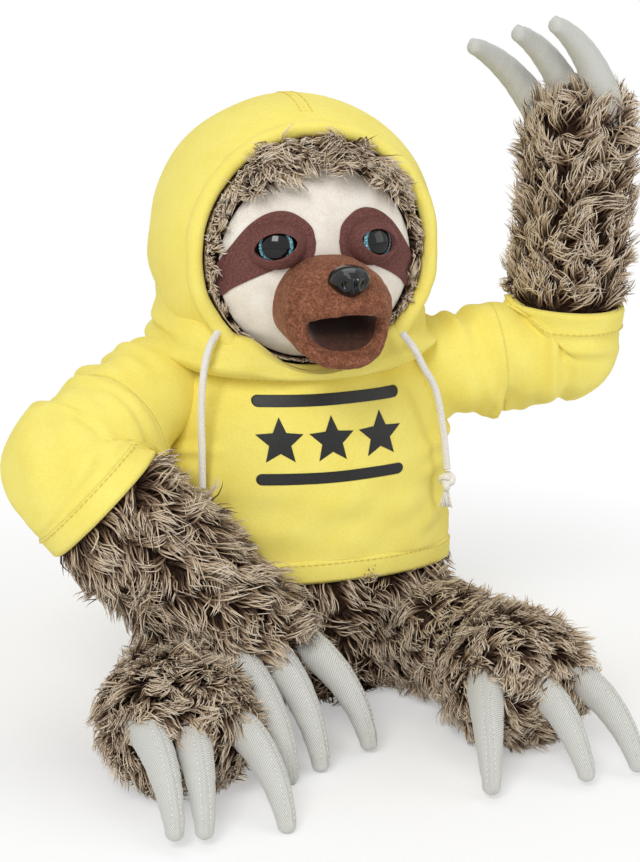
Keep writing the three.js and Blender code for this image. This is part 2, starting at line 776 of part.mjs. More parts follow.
function buildUpperArm({ name, upperArmLength, stations, shoulderFrame, elbowFrame }) {
  const elbowSpace = carried(limbSpace(stations.bend, elbowFrame), elbowFrame, shoulderFrame);
  const hoodSpace = carried(ballSpace(hoodOuter + gap), hoodFrame, shoulderFrame);
  const bore = rod(wireRadius + gap, -overrun, overrun, smallSides / 2);
  addPiece(shoulderFrame, `upper_arm_${name}`, without(limb(stations.upperArm), [elbowSpace, hoodSpace, bore]), fur);
  const wireStart = gap - shoulderRadius;
  const wire = without(rod(wireRadius, wireStart, upperArmLength, smallSides / 2), [elbowSpace, hoodSpace]);
  addPiece(shoulderFrame, `upper_arm_wire_${name}`, wire, steel);
  const sleeve = without(limb(stations.sleeve), [limb(stations.upperArm, gap), elbowSpace, hoodSpace]);
  addPiece(shoulderFrame, `sleeve_${name}`, sleeve, yellow);
}

// The forearm's wire runs from the elbow into the paw, in a bore that is open at the elbow
function buildForearm({ name, forearmLength, stations, elbowFrame, claws }) {
  const bore = rod(wireRadius + gap, -overrun, forearmLength + gap, smallSides / 2);
  const slots = claws.map((claw) => carried(clawSlot(), claw, elbowFrame));
  addPiece(elbowFrame, `forearm_${name}`, without(limb(stations.forearm), [bore, ...slots]), fur);
  const wireStart = gap - stations.forearm[0][1];
  const wire = without(rod(wireRadius, wireStart, forearmLength, smallSides / 2), slots);
  addPiece(elbowFrame, `forearm_wire_${name}`, wire, steel);
  const shell = without(limb(stations.cuff), [limb(stations.forearm, gap), above(cuffLength), bore]);
  addPiece(elbowFrame, `cuff_${name}`, shell, yellow);
  claws.forEach((claw, i) => addPiece(claw, `claw_${name}_hand_${i + 1}`, clawForm(), grey));
}

// Claws: each starts as a ball in the paw and curves towards its frame's -Y

const clawTurn = clawLength / radians(clawBend);

function clawRing(angle, radius) {
  const centre = vector(0, -clawTurn * (1 - Math.cos(angle)), clawTurn * Math.sin(angle));
  const outward = vector(0, Math.cos(angle), Math.sin(angle));
  return evenly(0, 2 * Math.PI, clawSides).slice(0, -1).map((a, i) => {
    const reach = radius + (i === 0 ? clawSeam : 0);
    return centre.clone().addScaledVector(outward, reach * Math.cos(a)).addScaledVector(sideways, reach * Math.sin(a));
  });
}

// Rings from the flat end of the root ball, round the bend, to the tip
function clawForm(grow = 0) {
  const bend = radians(clawBend);
  const root = evenly(radians(90), 0, capSteps).slice(1, -1).map((turn) => {
    const ring = clawRing(0, (clawRadius + grow) * Math.cos(turn));
    return ring.map((place) => place.setZ(-(clawRadius + grow) * Math.sin(turn)));
  });
  const taper = (share) => grow + clawRadius + (clawTipRadius - clawRadius) * share ** clawTaper;
  const body = evenly(0, 1, clawSteps).map((share) => clawRing(bend * share, taper(share)));
  const tipReach = (clawTipRadius + grow) * clawTipShare;
  const tip = clawRing(bend + tipReach / clawTurn, tipReach);
  return loft([...root, ...body, tip]);
}

// The opening that lets a claw flex, wider towards its mouth
function clawSlot() {
  const socket = (clawRadius + clawSeam + gap) / Math.cos(Math.PI / limbSides);
  const round = arc(0, socket, 0, 90, capSteps).slice(1);
  const mouth = point(socket + slotFlare, slotDepth);
  return turned([point(0, -socket), ...round, mouth, point(0, slotDepth)], limbSides);
}

// Legs, spread on the floor, each with a foot that flexes at the ankle

const legs = [{
  name: 'left',
  sign: 1,
  thighShares: [0.39, -0.92, 0],
  footShares: [0.08, -1, 0],
  rowShares: [1, 0.08, 0],
  hipRange: [-4, 12],
  clawFanShares: [-1.1, 0.35, 0.7],
}, {
  name: 'right',
  sign: -1,
  thighShares: [-0.58, -0.81, 0],
  footShares: [0.05, -1, 0],
  rowShares: [1, 0.05, -0.1],
  hipRange: [-10, 0],
  clawFanShares: [0.25, -0.2, 0.75],
}];

const legStations = [[0, hipRadius], [legLength / 2, (hipRadius + ankleRadius) / 2], [legLength, ankleRadius]];
const footStations = [[0, ankleRadius], [footLength, footRadius]];
const footWidth = [footWidthShare, 1, 1];

function makeLeg(leg) {
  const thigh = vector(...leg.thighShares).normalize();
  const along = vector(...leg.footShares).normalize();
  const row = squareTo(along, leg.rowShares);
  const hip = vector(leg.sign * hipSpread, leg.sign * hipTwist - hipForward, hipHeight);
  const ankle = hip.clone().addScaledVector(thigh, legLength);
  const seat = ankle.clone().addScaledVector(along, footLength + footClawSeat)
    .addScaledVector(upward, footClawRise);
  const hipFrame = makeFrame(toy, hip, thigh, sideways);
  addHinge(hipFrame, upward, ...leg.hipRange);
  const footFrame = makeFrame(hipFrame, ankle, along, row);
  addHinge(footFrame, row, -ankleLift, 0);
  const clawAlong = along.clone().applyAxisAngle(row, -radians(footClawLift));
  const options = { ...leg, pitch: clawPitch, clawRange: [-clawFlex, 0] };
  const claws = makeClawFrames(footFrame, seat, clawAlong, row, options);
  return { name: leg.name, hipFrame, footFrame, claws };
}

// The dent that the resting arm presses into a piece, and its ways out as the arm lifts
function armDent({ stations, shoulderFrame, elbowFrame }, frame) {
  const ease = Math.cos(Math.PI / roomSides);
  const wide = stations.forearm.map(([along, radius]) => [along, (radius + runningGap) / ease]);
  const held = limb(wide, 0, roomSides);
  const lifted = (solid, frame, angle) => (
    solid.transform(new THREE.Matrix4().makeRotationAxis(frame.userData.axis, radians(angle)).elements)
  );
  const lifts = [armLift / 2, armLift];
  const byElbow = lifts.map((angle) => carried(lifted(held, elbowFrame, angle), elbowFrame, shoulderFrame));
  const still = carried(held, elbowFrame, shoulderFrame);
  const byShoulder = lifts.map((angle) => lifted(still, shoulderFrame, angle));
  return carried(wasm.Manifold.union([still, ...byElbow, ...byShoulder]), shoulderFrame, frame);
}

function buildLeg({ name, hipFrame, footFrame, claws }, dentsIn) {
  const footSpace = limbSpace(footStations, footFrame).scale(footWidth);
  const cuts = [carried(footSpace, footFrame, hipFrame), ...dentsIn(hipFrame)];
  addPiece(hipFrame, `leg_${name}`, without(limb(legStations), cuts), fur);
  const slots = claws.map((claw) => carried(clawSlot(), claw, footFrame));
  const foot = limb(footStations).scale(footWidth);
  addPiece(footFrame, `foot_${name}`, without(foot, [...slots, ...dentsIn(footFrame)]), fur);
  claws.forEach((claw, i) => addPiece(claw, `claw_${name}_foot_${i + 1}`, clawForm(), grey));
}

// The toy, put together

const [leftArm, rightArm] = arms.map(makeArm);
const [leftLeg, rightLeg] = legs.map(makeLeg);
const armSpaces = [leftArm, rightArm].map(({ stations, shoulderFrame }) => (
  carried(limbSpace(stations.sleeve, shoulderFrame), shoulderFrame, toy)
));
const legSpaces = [leftLeg, rightLeg].map(({ hipFrame }) => (
  carried(limbSpace(legStations, hipFrame), hipFrame, toy)
));

buildTorso([...armSpaces, ...legSpaces]);
buildSweatshirt([...armSpaces, ...legSpaces]);
buildCollar(armSpaces);
buildDrawstrings();
buildHood();
buildHead();
buildMuzzle();
buildJaw();
[leftArm, rightArm].forEach((arm) => {
  buildUpperArm(arm);
  buildForearm(arm);
});
buildLeg(leftLeg, () => []);
buildLeg(rightLeg, (frame) => [
  swept(armDent(rightArm, frame), frame, -1),
  ...rightArm.claws.map((claw) => swept(carried(clawForm(runningGap), claw, frame), frame, -1)),
]);

export default toy;
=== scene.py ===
import bmesh
import bpy
import numpy as np
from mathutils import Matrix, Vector


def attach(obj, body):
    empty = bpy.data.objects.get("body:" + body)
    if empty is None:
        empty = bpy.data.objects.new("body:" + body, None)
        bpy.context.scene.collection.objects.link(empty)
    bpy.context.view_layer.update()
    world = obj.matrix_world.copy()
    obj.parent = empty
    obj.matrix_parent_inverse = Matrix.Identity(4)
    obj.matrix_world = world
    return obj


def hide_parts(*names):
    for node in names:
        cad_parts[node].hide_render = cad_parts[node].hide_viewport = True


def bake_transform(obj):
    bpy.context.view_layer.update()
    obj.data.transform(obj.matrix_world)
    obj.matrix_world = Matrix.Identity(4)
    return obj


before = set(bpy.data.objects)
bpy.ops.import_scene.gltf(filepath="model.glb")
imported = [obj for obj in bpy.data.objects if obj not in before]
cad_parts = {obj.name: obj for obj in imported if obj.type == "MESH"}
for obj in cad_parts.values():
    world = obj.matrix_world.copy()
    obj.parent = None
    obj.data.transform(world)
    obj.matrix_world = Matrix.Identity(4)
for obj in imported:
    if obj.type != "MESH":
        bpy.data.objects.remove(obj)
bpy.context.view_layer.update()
MM = 0.001

# ---- Camera, lights and floor ----
# The photograph is taken from a little to the toy's right and above, on a white sweep.
# Large soft lamps stand in front, and the floor keeps the toy's shadow.

VIEW_AZIMUTH = np.radians(-16)
VIEW_ELEVATION = np.radians(15)
VIEW_TARGET = Vector((19.51, 26.31, 114.46)) * MM
VIEW_DISTANCE = 1.0
FOCAL_PIXELS = 2000
PHOTO_HEIGHT = 862
SENSOR_WIDTH = 36
ROOM_LIGHT = 0.36             # strength of the white room's light beside the lamps
FLOOR_RADIUS = 3
FLOOR_SIDES = 64
FLOOR_FADE = (0.14, 0.36)     # in metres: between them the paper turns to plain white
FLOOR_GLOW = 0.35             # how far it is plain white already at the toy


def linear(code):
    """An sRGB hex colour as linear light: each channel c is c / 12.92 up to 0.04045,
    and above it ((c + 0.055) / 1.055) to the power 2.4."""
    c = np.array([(code >> shift) & 255 for shift in (16, 8, 0)]) / 255
    c = np.where(c <= 0.04045, c / 12.92, ((c + 0.055) / 1.055) ** 2.4)
    return (*c.tolist(), 1.0)


def node(tree, kind, inputs=None, stops=None, **options):
    """Adds a node with its options, its inputs (values or other sockets) and a ramp's stops."""
    made = tree.nodes.new("ShaderNode" + kind)
    for name, value in options.items():
        setattr(made, name, value)
    for name, value in (inputs or {}).items():
        if isinstance(value, bpy.types.NodeSocket):
            tree.links.new(value, made.inputs[name])
        else:
            made.inputs[name].default_value = value
    if stops:
        ramp = made.color_ramp.elements
        ramp[0].position, ramp[1].position = stops[0][0], stops[-1][0]
        for place, colour in stops[1:-1]:
            ramp.new(place)
        for element, (place, colour) in zip(ramp, stops):
            element.color = linear(colour)
    return made


def finish_of(name, **shader):
    """A material with one Principled shader, whose sockets take these values by name."""
    made = bpy.data.materials.new(name)
    made.use_nodes = True
    surface = made.node_tree.nodes["Principled BSDF"]
    for key, value in shader.items():
        surface.inputs[key.replace("_", " ")].default_value = value
    return made, made.node_tree, surface.inputs


back = Vector((
    np.sin(VIEW_AZIMUTH) * np.cos(VIEW_ELEVATION),
    -np.cos(VIEW_AZIMUTH) * np.cos(VIEW_ELEVATION),
    np.sin(VIEW_ELEVATION),
))
camera_data = bpy.data.cameras.new("photo_camera")
camera_data.sensor_width = SENSOR_WIDTH
camera_data.lens = FOCAL_PIXELS * SENSOR_WIDTH / PHOTO_HEIGHT
camera = bpy.data.objects.new("photo_camera", camera_data)
camera.location = VIEW_TARGET + back * VIEW_DISTANCE
camera.rotation_euler = back.to_track_quat("Z", "Y").to_euler()
bpy.context.collection.objects.link(camera)
bpy.context.scene.camera = camera
bpy.context.scene.view_settings.view_transform = "Standard"

for name, place, aim, size, power in [
    ("key_softbox", (-0.9, -1.5, 1.5), (0, 0, 0.15), 0.9, 25),
    ("fill_softbox", (1.5, -1.1, 0.8), (0, 0, 0.15), 1.2, 7),
    ("top_softbox", (0.1, 0.5, 1.9), (0, 0, 0.1), 1.2, 8.2),
]:
    lamp_data = bpy.data.lights.new(name, "AREA")
    lamp_data.size = size
    lamp_data.energy = power
    lamp = bpy.data.objects.new(name, lamp_data)
    lamp.location = place
    lamp.rotation_euler = (Vector(place) - Vector(aim)).to_track_quat("Z", "Y").to_euler()
    bpy.context.collection.objects.link(lamp)

world = bpy.data.worlds.new("white_room")
bpy.context.scene.world = world
world.use_nodes = True
sky = world.node_tree
sky.nodes.clear()
rays = node(sky, "LightPath").outputs
seen = node(sky, "Math", {0: rays["Is Camera Ray"], 1: rays["Is Glossy Ray"]}, operation="MAXIMUM").outputs[0]
white = node(sky, "Background", {"Color": (1, 1, 1, 1), "Strength": 1.0}).outputs[0]
ambient = node(sky, "Background", {"Color": (1, 1, 1, 1), "Strength": ROOM_LIGHT}).outputs[0]
room = node(sky, "MixShader", {0: seen, 1: ambient, 2: white}).outputs[0]
node(sky, "OutputWorld", {"Surface": room})

ring = np.linspace(0, 2 * np.pi, FLOOR_SIDES, endpoint=False)
rim = FLOOR_RADIUS * np.stack([np.cos(ring), np.sin(ring), 0 * ring], 1)
floor_mesh = bpy.data.meshes.new("floor")
floor_mesh.from_pydata(rim.tolist(), [], [list(range(FLOOR_SIDES))])
floor = bpy.data.objects.new("floor", floor_mesh)
bpy.context.collection.objects.link(floor)
# white paper: matt, and it runs out to the white of the room with no edge
paper, tree, sockets = finish_of("white_paper_sweep", Roughness=0.9, Base_Color=linear(0xffffff))
coords = node(tree, "TexCoord").outputs["Object"]
far = node(tree, "VectorMath", {0: coords}, operation="LENGTH").outputs["Value"]
fade = node(tree, "MapRange", {"Value": far, "From Min": FLOOR_FADE[0], "From Max": FLOOR_FADE[1],
                               "To Min": FLOOR_GLOW}).outputs[0]
direct = node(tree, "LightPath").outputs["Is Camera Ray"]
share = node(tree, "Math", {0: fade, 1: direct}, operation="MULTIPLY").outputs[0]
glow = node(tree, "Emission", {"Color": (1, 1, 1, 1), "Strength": 1.0}).outputs[0]
lit = tree.nodes["Principled BSDF"].outputs[0]
mix = node(tree, "MixShader", {0: share, 1: lit, 2: glow}).outputs[0]
tree.links.new(mix, tree.nodes["Material Output"].inputs["Surface"])
floor.data.materials.append(paper)

# ---- Drawstrings ----
# Two round cords of braided cotton, 3.5 mm thick. Each leaves the end of the hood's casing,
# hangs down the chest and ends in an overhand knot with a short frayed tail.

CORD_RADIUS = 1.75
CORD_SIDES = 16
CORD_BRAID = 2.6              # length of one crossing of the braid
BRAID_SINK = 0.3              # the braid's valleys below the cord's radius
BRAID_RELIEF = 0.18
KNOT_SCALE = (0.82, 1.9, 1.2)
KNOT_CORD_RADIUS = 1.65       # the cord, pulled tight in the knot
KNOT_SIDES = 12
KNOT_HALF_LENGTH = 5.5
KNOT_DROP = 5.8               # knot's middle below the cord's end
TAIL_LENGTH = 8
TAIL_STRANDS = 26
TAIL_LEVELS = 6
TAIL_SIDES = 5
TAIL_THREAD_RADIUS = 0.3
CORD_ROUTES = {
    "left": [(36, -52, 180), (41, -54.5, 173), (47, -51, 163), (55, -46, 150), (60, -43, 130),
             (63, -41, 110)],
    "right": [(-47, -41, 184), (-53, -46, 177), (-56, -47, 165), (-57, -46, 148), (-57, -46, 130),
              (-57, -46, 112)],
}


def unit(v):
    return v / np.linalg.norm(v, axis=-1, keepdims=True)


def smooth(points, count):
    """A Catmull-Rom curve through the points: between two of them it is the cubic whose slope at
    each point is half the step from the point before to the point after."""
    p = np.asarray(points, float)
    p = np.vstack([2 * p[0] - p[1], p, 2 * p[-1] - p[-2]])
    share = np.linspace(0, len(p) - 3, count)
    i = np.minimum(share.astype(int), len(p) - 4)
    t = (share - i)[:, None]
    a, b, c, d = p[i], p[i + 1], p[i + 2], p[i + 3]
    return 0.5 * (2 * b + (c - a) * t + (2 * a - 5 * b + 4 * c - d) * t**2 + (3 * b - a - 3 * c + d) * t**3)


def grid(rows, columns, closed=True):
    """Quads over a grid of points, row after row, and the corners' places on it from 0 to 1.
    A closed grid joins its last column to its first."""
    wide = columns if closed else columns - 1
    r, c = np.meshgrid(np.arange(rows - 1), np.arange(wide), indexing="ij")
    n = (c + 1) % columns
    faces = np.stack([r * columns + c, r * columns + n, (r + 1) * columns + n, (r + 1) * columns + c], -1)
    u = np.stack([c, c + 1, c + 1, c], -1) / wide
    v = np.stack([r, r, r + 1, r + 1], -1) / (rows - 1)
    return faces.reshape(-1, 4), np.stack([u, v], -1).reshape(-1, 2)


def piece(name, places, faces, finish, uv=None, weld=True):
    """A mesh object from points in millimetres. Points that fall together are joined, which
    closes poles and seams, and the faces are turned outwards."""
    mesh = bpy.data.meshes.new(name)
    places = np.asarray(places, float).reshape(-1, 3)
    mesh.vertices.add(len(places))
    mesh.vertices.foreach_set("co", (places * MM).ravel())
    mesh.loops.add(faces.size)
    mesh.loops.foreach_set("vertex_index", faces.ravel().astype(np.int32))
    mesh.polygons.add(len(faces))
    mesh.polygons.foreach_set("loop_start", np.arange(0, faces.size, faces.shape[1], dtype=np.int32))
    mesh.update(calc_edges=True)
    if uv is not None:
        mesh.uv_layers.new(name="UVMap").data.foreach_set("uv", np.asarray(uv, float).ravel())
    if weld:
        work = bmesh.new()
        work.from_mesh(mesh)
        bmesh.ops.remove_doubles(work, verts=work.verts, dist=0.002 * MM)
        bmesh.ops.recalc_face_normals(work, faces=work.faces)
        work.to_mesh(mesh)
        work.free()
    mesh.polygons.foreach_set("use_smooth", np.ones(len(mesh.polygons), bool))
    for one in finish if isinstance(finish, list) else [finish]:
        mesh.materials.append(one)
    made = bpy.data.objects.new(name, mesh)
    bpy.context.collection.objects.link(made)
    return made


def hoops(path, radius, sides, up=(0, 1, 0.001)):
    """Rings of points round a path. Each ring stands square to the path and starts on the side
    that up points to; radius is one number, one a ring, or one a point."""
    path = np.asarray(path, float)
    ahead = unit(np.gradient(path, axis=0))
    side = unit(np.cross(ahead, up))
    over = np.cross(side, ahead)
    a = np.linspace(0, 2 * np.pi, sides, endpoint=False)
    reach = np.asarray(radius, float)
    if reach.ndim < 2:
        reach = np.broadcast_to(reach, (sides, len(path))).T
    turn = np.cos(a)[None, :, None] * over[:, None] + np.sin(a)[None, :, None] * side[:, None]
    return path[:, None] + reach[..., None] * turn


def capped(rings):
    """The rings with a point at each end, as one more ring of equal points, so the tube is closed."""
    first = np.repeat(rings[:1].mean(1, keepdims=True), rings.shape[1], 1)
    last = np.repeat(rings[-1:].mean(1, keepdims=True), rings.shape[1], 1)
    return np.concatenate([first, rings, last])


def tube(name, rings, finish):
    """A piece whose surface runs through rings of points, one after the other."""
    faces, uv = grid(len(rings), rings.shape[1])
    return piece(name, rings, faces, finish, uv)


def noise(tree, size, detail=2, squeeze=None):
    """A clouded grain of about this size in millimetres, which stays with the piece. It may be
    squeezed along x, y and z."""
    coords = node(tree, "TexCoord").outputs["Object"]
    if squeeze:
        coords = node(tree, "Mapping", {"Vector": coords, "Scale": squeeze}).outputs[0]
    return node(tree, "TexNoise", {"Vector": coords, "Scale": 1 / (size * MM), "Detail": detail}).outputs[0]


def coloured(tree, sockets, value, stops):
    """Colours a finish by a value, through a ramp of places from 0 to 1 and their sRGB codes."""
    ramp = node(tree, "ValToRGB", {0: value}, stops=stops)
    tree.links.new(ramp.outputs[0], sockets["Base Color"])


def raised(tree, sockets, value, strength, depth):
    """Gives a finish relief by a value, so many millimetres deep."""
    bump = node(tree, "Bump", {"Height": value, "Strength": strength, "Distance": depth * MM})
    tree.links.new(bump.outputs[0], sockets["Normal"])


# braided cotton: off-white, matt, with soft crossing strands in relief
cotton, tree, sockets = finish_of("braided_cotton_cord", Roughness=0.92, Sheen_Weight=0.25,
                                  Sheen_Roughness=0.5)
fibres = noise(tree, 0.35)
coloured(tree, sockets, fibres, [(0.3, 0xd9d2c4), (0.6, 0xf6f3ec)])
raised(tree, sockets, fibres, 0.5, 0.15)

rng = np.random.default_rng(7)
for side, route in CORD_ROUTES.items():
    line = smooth(route, 120)
    steps = np.linalg.norm(np.diff(line, axis=0), axis=1)
    phase = 2 * np.pi * np.r_[0, np.cumsum(steps)][:, None] / CORD_BRAID / 2
    a = np.linspace(0, 2 * np.pi, CORD_SIDES, endpoint=False)
    braid = np.abs(np.sin(2 * a + phase)) + np.abs(np.sin(2 * a - phase))
    rings = capped(hoops(line, CORD_RADIUS - BRAID_SINK + BRAID_RELIEF * braid, CORD_SIDES))
    cord = tube(f"drawstring_{side}_cord", rings, cotton)

    # the knot is a trefoil curve, the path of an overhand knot, pulled tight
    t = np.linspace(0, 2 * np.pi, 97)
    trefoil = np.stack([np.sin(t) + 2 * np.sin(2 * t), -np.sin(3 * t), np.cos(t) - 2 * np.cos(2 * t)], 1)
    centre = np.array(route[-1], float) - [0, 0, KNOT_DROP]
    core = hoops(centre + trefoil * KNOT_SCALE, KNOT_CORD_RADIUS, KNOT_SIDES, (0.3, 1, 0.2))
    knot = tube(f"knot_{side}_cord", core, cotton)
    spread = np.linspace(0.3, 1.5, TAIL_LEVELS)[None, :, None]
    fray = rng.normal(0, 1, (TAIL_STRANDS, 1, 2)) * spread
    drop = np.linspace(KNOT_HALF_LENGTH - 2, KNOT_HALF_LENGTH + TAIL_LENGTH, TAIL_LEVELS)[None, :, None]
    drop = drop * rng.uniform(0.85, 1, (TAIL_STRANDS, 1, 1))
    lines = centre + np.concatenate([fray, -drop], 2)
    threads = np.concatenate([capped(hoops(one, TAIL_THREAD_RADIUS, TAIL_SIDES)) for one in lines])
    faces, uv = grid(TAIL_LEVELS + 2, TAIL_SIDES)
    faces = np.concatenate([faces + (TAIL_LEVELS + 2) * TAIL_SIDES * i for i in range(TAIL_STRANDS)])
    tail = piece(f"knot_tail_{side}", threads, faces, cotton, np.tile(uv, (TAIL_STRANDS, 1)))
    for made in (cord, knot, tail):
        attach(made, "torso")
    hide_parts(f"drawstring_{side}")
    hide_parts(f"knot_{side}")

# ---- Fur ----
# Long-pile plush: yarn strands 10 to 20 mm long, dark at the backing and beige at the tips, lying
# in curly tufts. The dark towards the root is partly the yarn's own colour and partly painted shade,
# the shade deep in the pile. Each limb is a sewn and stuffed skin under its own strands.

PILE_DEPTH = 4                # the backing cloth below the limb's outside
STRAND_HALF_WIDTH = 0.53
STRAND_FLATNESS = 0.7         # thickness over width
STRAND_TAPER = 0.78           # share of its width that a strand has lost at its tip
STRAND_LEVELS = 7
STRAND_CURL = 0.055           # radius of its curl over its length
TUFT_SIZE = 11                # strands in a tuft
TUFT_PULL = 0.58              # how far the ends of a tuft lie together
TUFT_ROOTS = (0.45, 0.55)     # a lead starts between a strand's own root and that of its tuft
LOWEST_STRAND = 0.9           # above the floor
HEAD_CENTRE = np.array([-2, 0, 217.0])
HEAD_RADIUS = 62
FACE_TILT = np.radians(6)
FACE_HALF_ANGLE = 48
ARMS = {
    "left": {"shoulder": (67.5, 0, 150), "upper": (0.96, -0.14, 0.12), "upper_length": 67,
             "elbow": 22.5, "fore": (0.04, -0.04, 1), "bend": (-0.148, -0.988, -0.034), "length": 104,
             "swell": 26, "paw": 24.5, "pile": 17},
    "right": {"shoulder": (-67.5, 0, 150), "upper": (-0.685, -0.65, -0.326), "upper_length": 73.5,
              "elbow": 27, "fore": (0.69, -0.25, -0.71), "bend": (-0.706, -0.486, -0.515), "length": 111,
              "swell": 29, "paw": 25, "pile": 19},
}                             # ways, lengths, the radii at elbow, middle and paw, and the pile's length
ARM_STRANDS = 5800
LEG_STRANDS = 5050            # on a leg, and as many on its foot
LEG_PILE = 16
TORSO_STRANDS = 4850
TORSO_PILE = 15
LEGS = {
    "left": {"hip": (42, -16, 29.5), "thigh": (0.39, -0.92, 0), "foot": (0.08, -1, 0),
             "row": (1, 0.08, 0)},
    "right": {"hip": (-42, -32, 29.5), "thigh": (-0.58, -0.81, 0), "foot": (0.05, -1, 0),
              "row": (1, 0.05, -0.1)},
}
HIP_RADIUS = 27.5
LEG_LENGTH = 75
ANKLE_RADIUS = 24
FOOT_LENGTH = 25
FOOT_RADIUS = 28
FOOT_WIDTH_SHARE = 1.16
SHOULDER_RADIUS = 22
CUFF_LENGTH = 23
TORSO_HALF_WIDTH = 72.5
TORSO_HALF_DEPTH = 56
NECK_HEIGHT = 186
SEAT_RADIUS = 53
TORSO_SHARES = [(0.05, 0.875), (0.15, 0.975), (0.3, 1), (0.5, 0.99), (0.67, 0.945), (0.79, 0.845),
                (0.87, 0.68), (0.93, 0.434)]    # height over the neck's, and half-width over the widest


def axes(along, across):
    """A frame's axes as rows: z runs along the piece, y is z cross across, and x is y cross z."""
    z = unit(np.asarray(along, float))
    y = unit(np.cross(z, across))
    return np.stack([np.cross(y, z), y, z])


def limb(stations, origin, turn, rows=30, columns=56, wide=1.0):
    """A soft limb: a point is (r cos a, r sin a, s), where r swells smoothly with s through the
    stations, and closes as half a ball about the first and the last of them."""
    a = np.linspace(0, np.pi / 2, 9)
    (s0, r0), (s1, r1) = stations[0], stations[-1]
    start = np.stack([s0 - r0 * np.cos(a), r0 * np.sin(a)], 1)[:-1]
    end = np.stack([s1 + r1 * np.sin(a), r1 * np.cos(a)], 1)[1:]
    profile = np.concatenate([start, smooth(stations, rows), end])
    b = np.linspace(0, 2 * np.pi, columns, endpoint=False)
    s, r = profile[:, :1], profile[:, 1:]
    local = np.stack([r * np.cos(b) * wide, r * np.sin(b), s + 0 * b], -1)
    return local @ turn + origin


def pressed(surface, bodies):
    """The surface, with each point that lies in a body of (start, end, radius, radius) moved
    straight out of it, away from the line from its start to its end."""
    for start, end, r0, r1 in bodies:
        start, line = np.asarray(start, float), np.asarray(end, float) - start
        t = np.clip((surface - start) @ line / max(line @ line, 1e-9), 0, 1)[..., None]
        nearest = start + t * line
        radius = r0 + (r1 - r0) * t
        out = surface - nearest
        far = np.linalg.norm(out, axis=-1, keepdims=True)
        surface = np.where(far < radius, nearest + out / np.maximum(far, 1e-6) * radius, surface)
    return surface


def scatter(surface, count, rng, keep=None):
    """Random places on a grid of points, spread evenly over its area: each with the outward
    normal there and the way that its rows run."""
    side = np.roll(surface, -1, 1)
    across = (side[:-1] - surface[:-1] + side[1:] - surface[1:]) / 2
    down = (surface[1:] - surface[:-1] + side[1:] - side[:-1]) / 2
    area = np.linalg.norm(np.cross(across, down), axis=-1)
    if keep is not None:
        area = area * keep(surface[:-1] + across / 2 + down / 2)
    pick = rng.choice(area.size, count, p=area.ravel() / area.sum())
    r, c = np.divmod(pick, surface.shape[1])
    u, v = rng.random((2, count, 1))
    place = surface[r, c] + u * across[r, c] + v * down[r, c]
    return place, unit(np.cross(across, down))[r, c], unit(down[r, c])


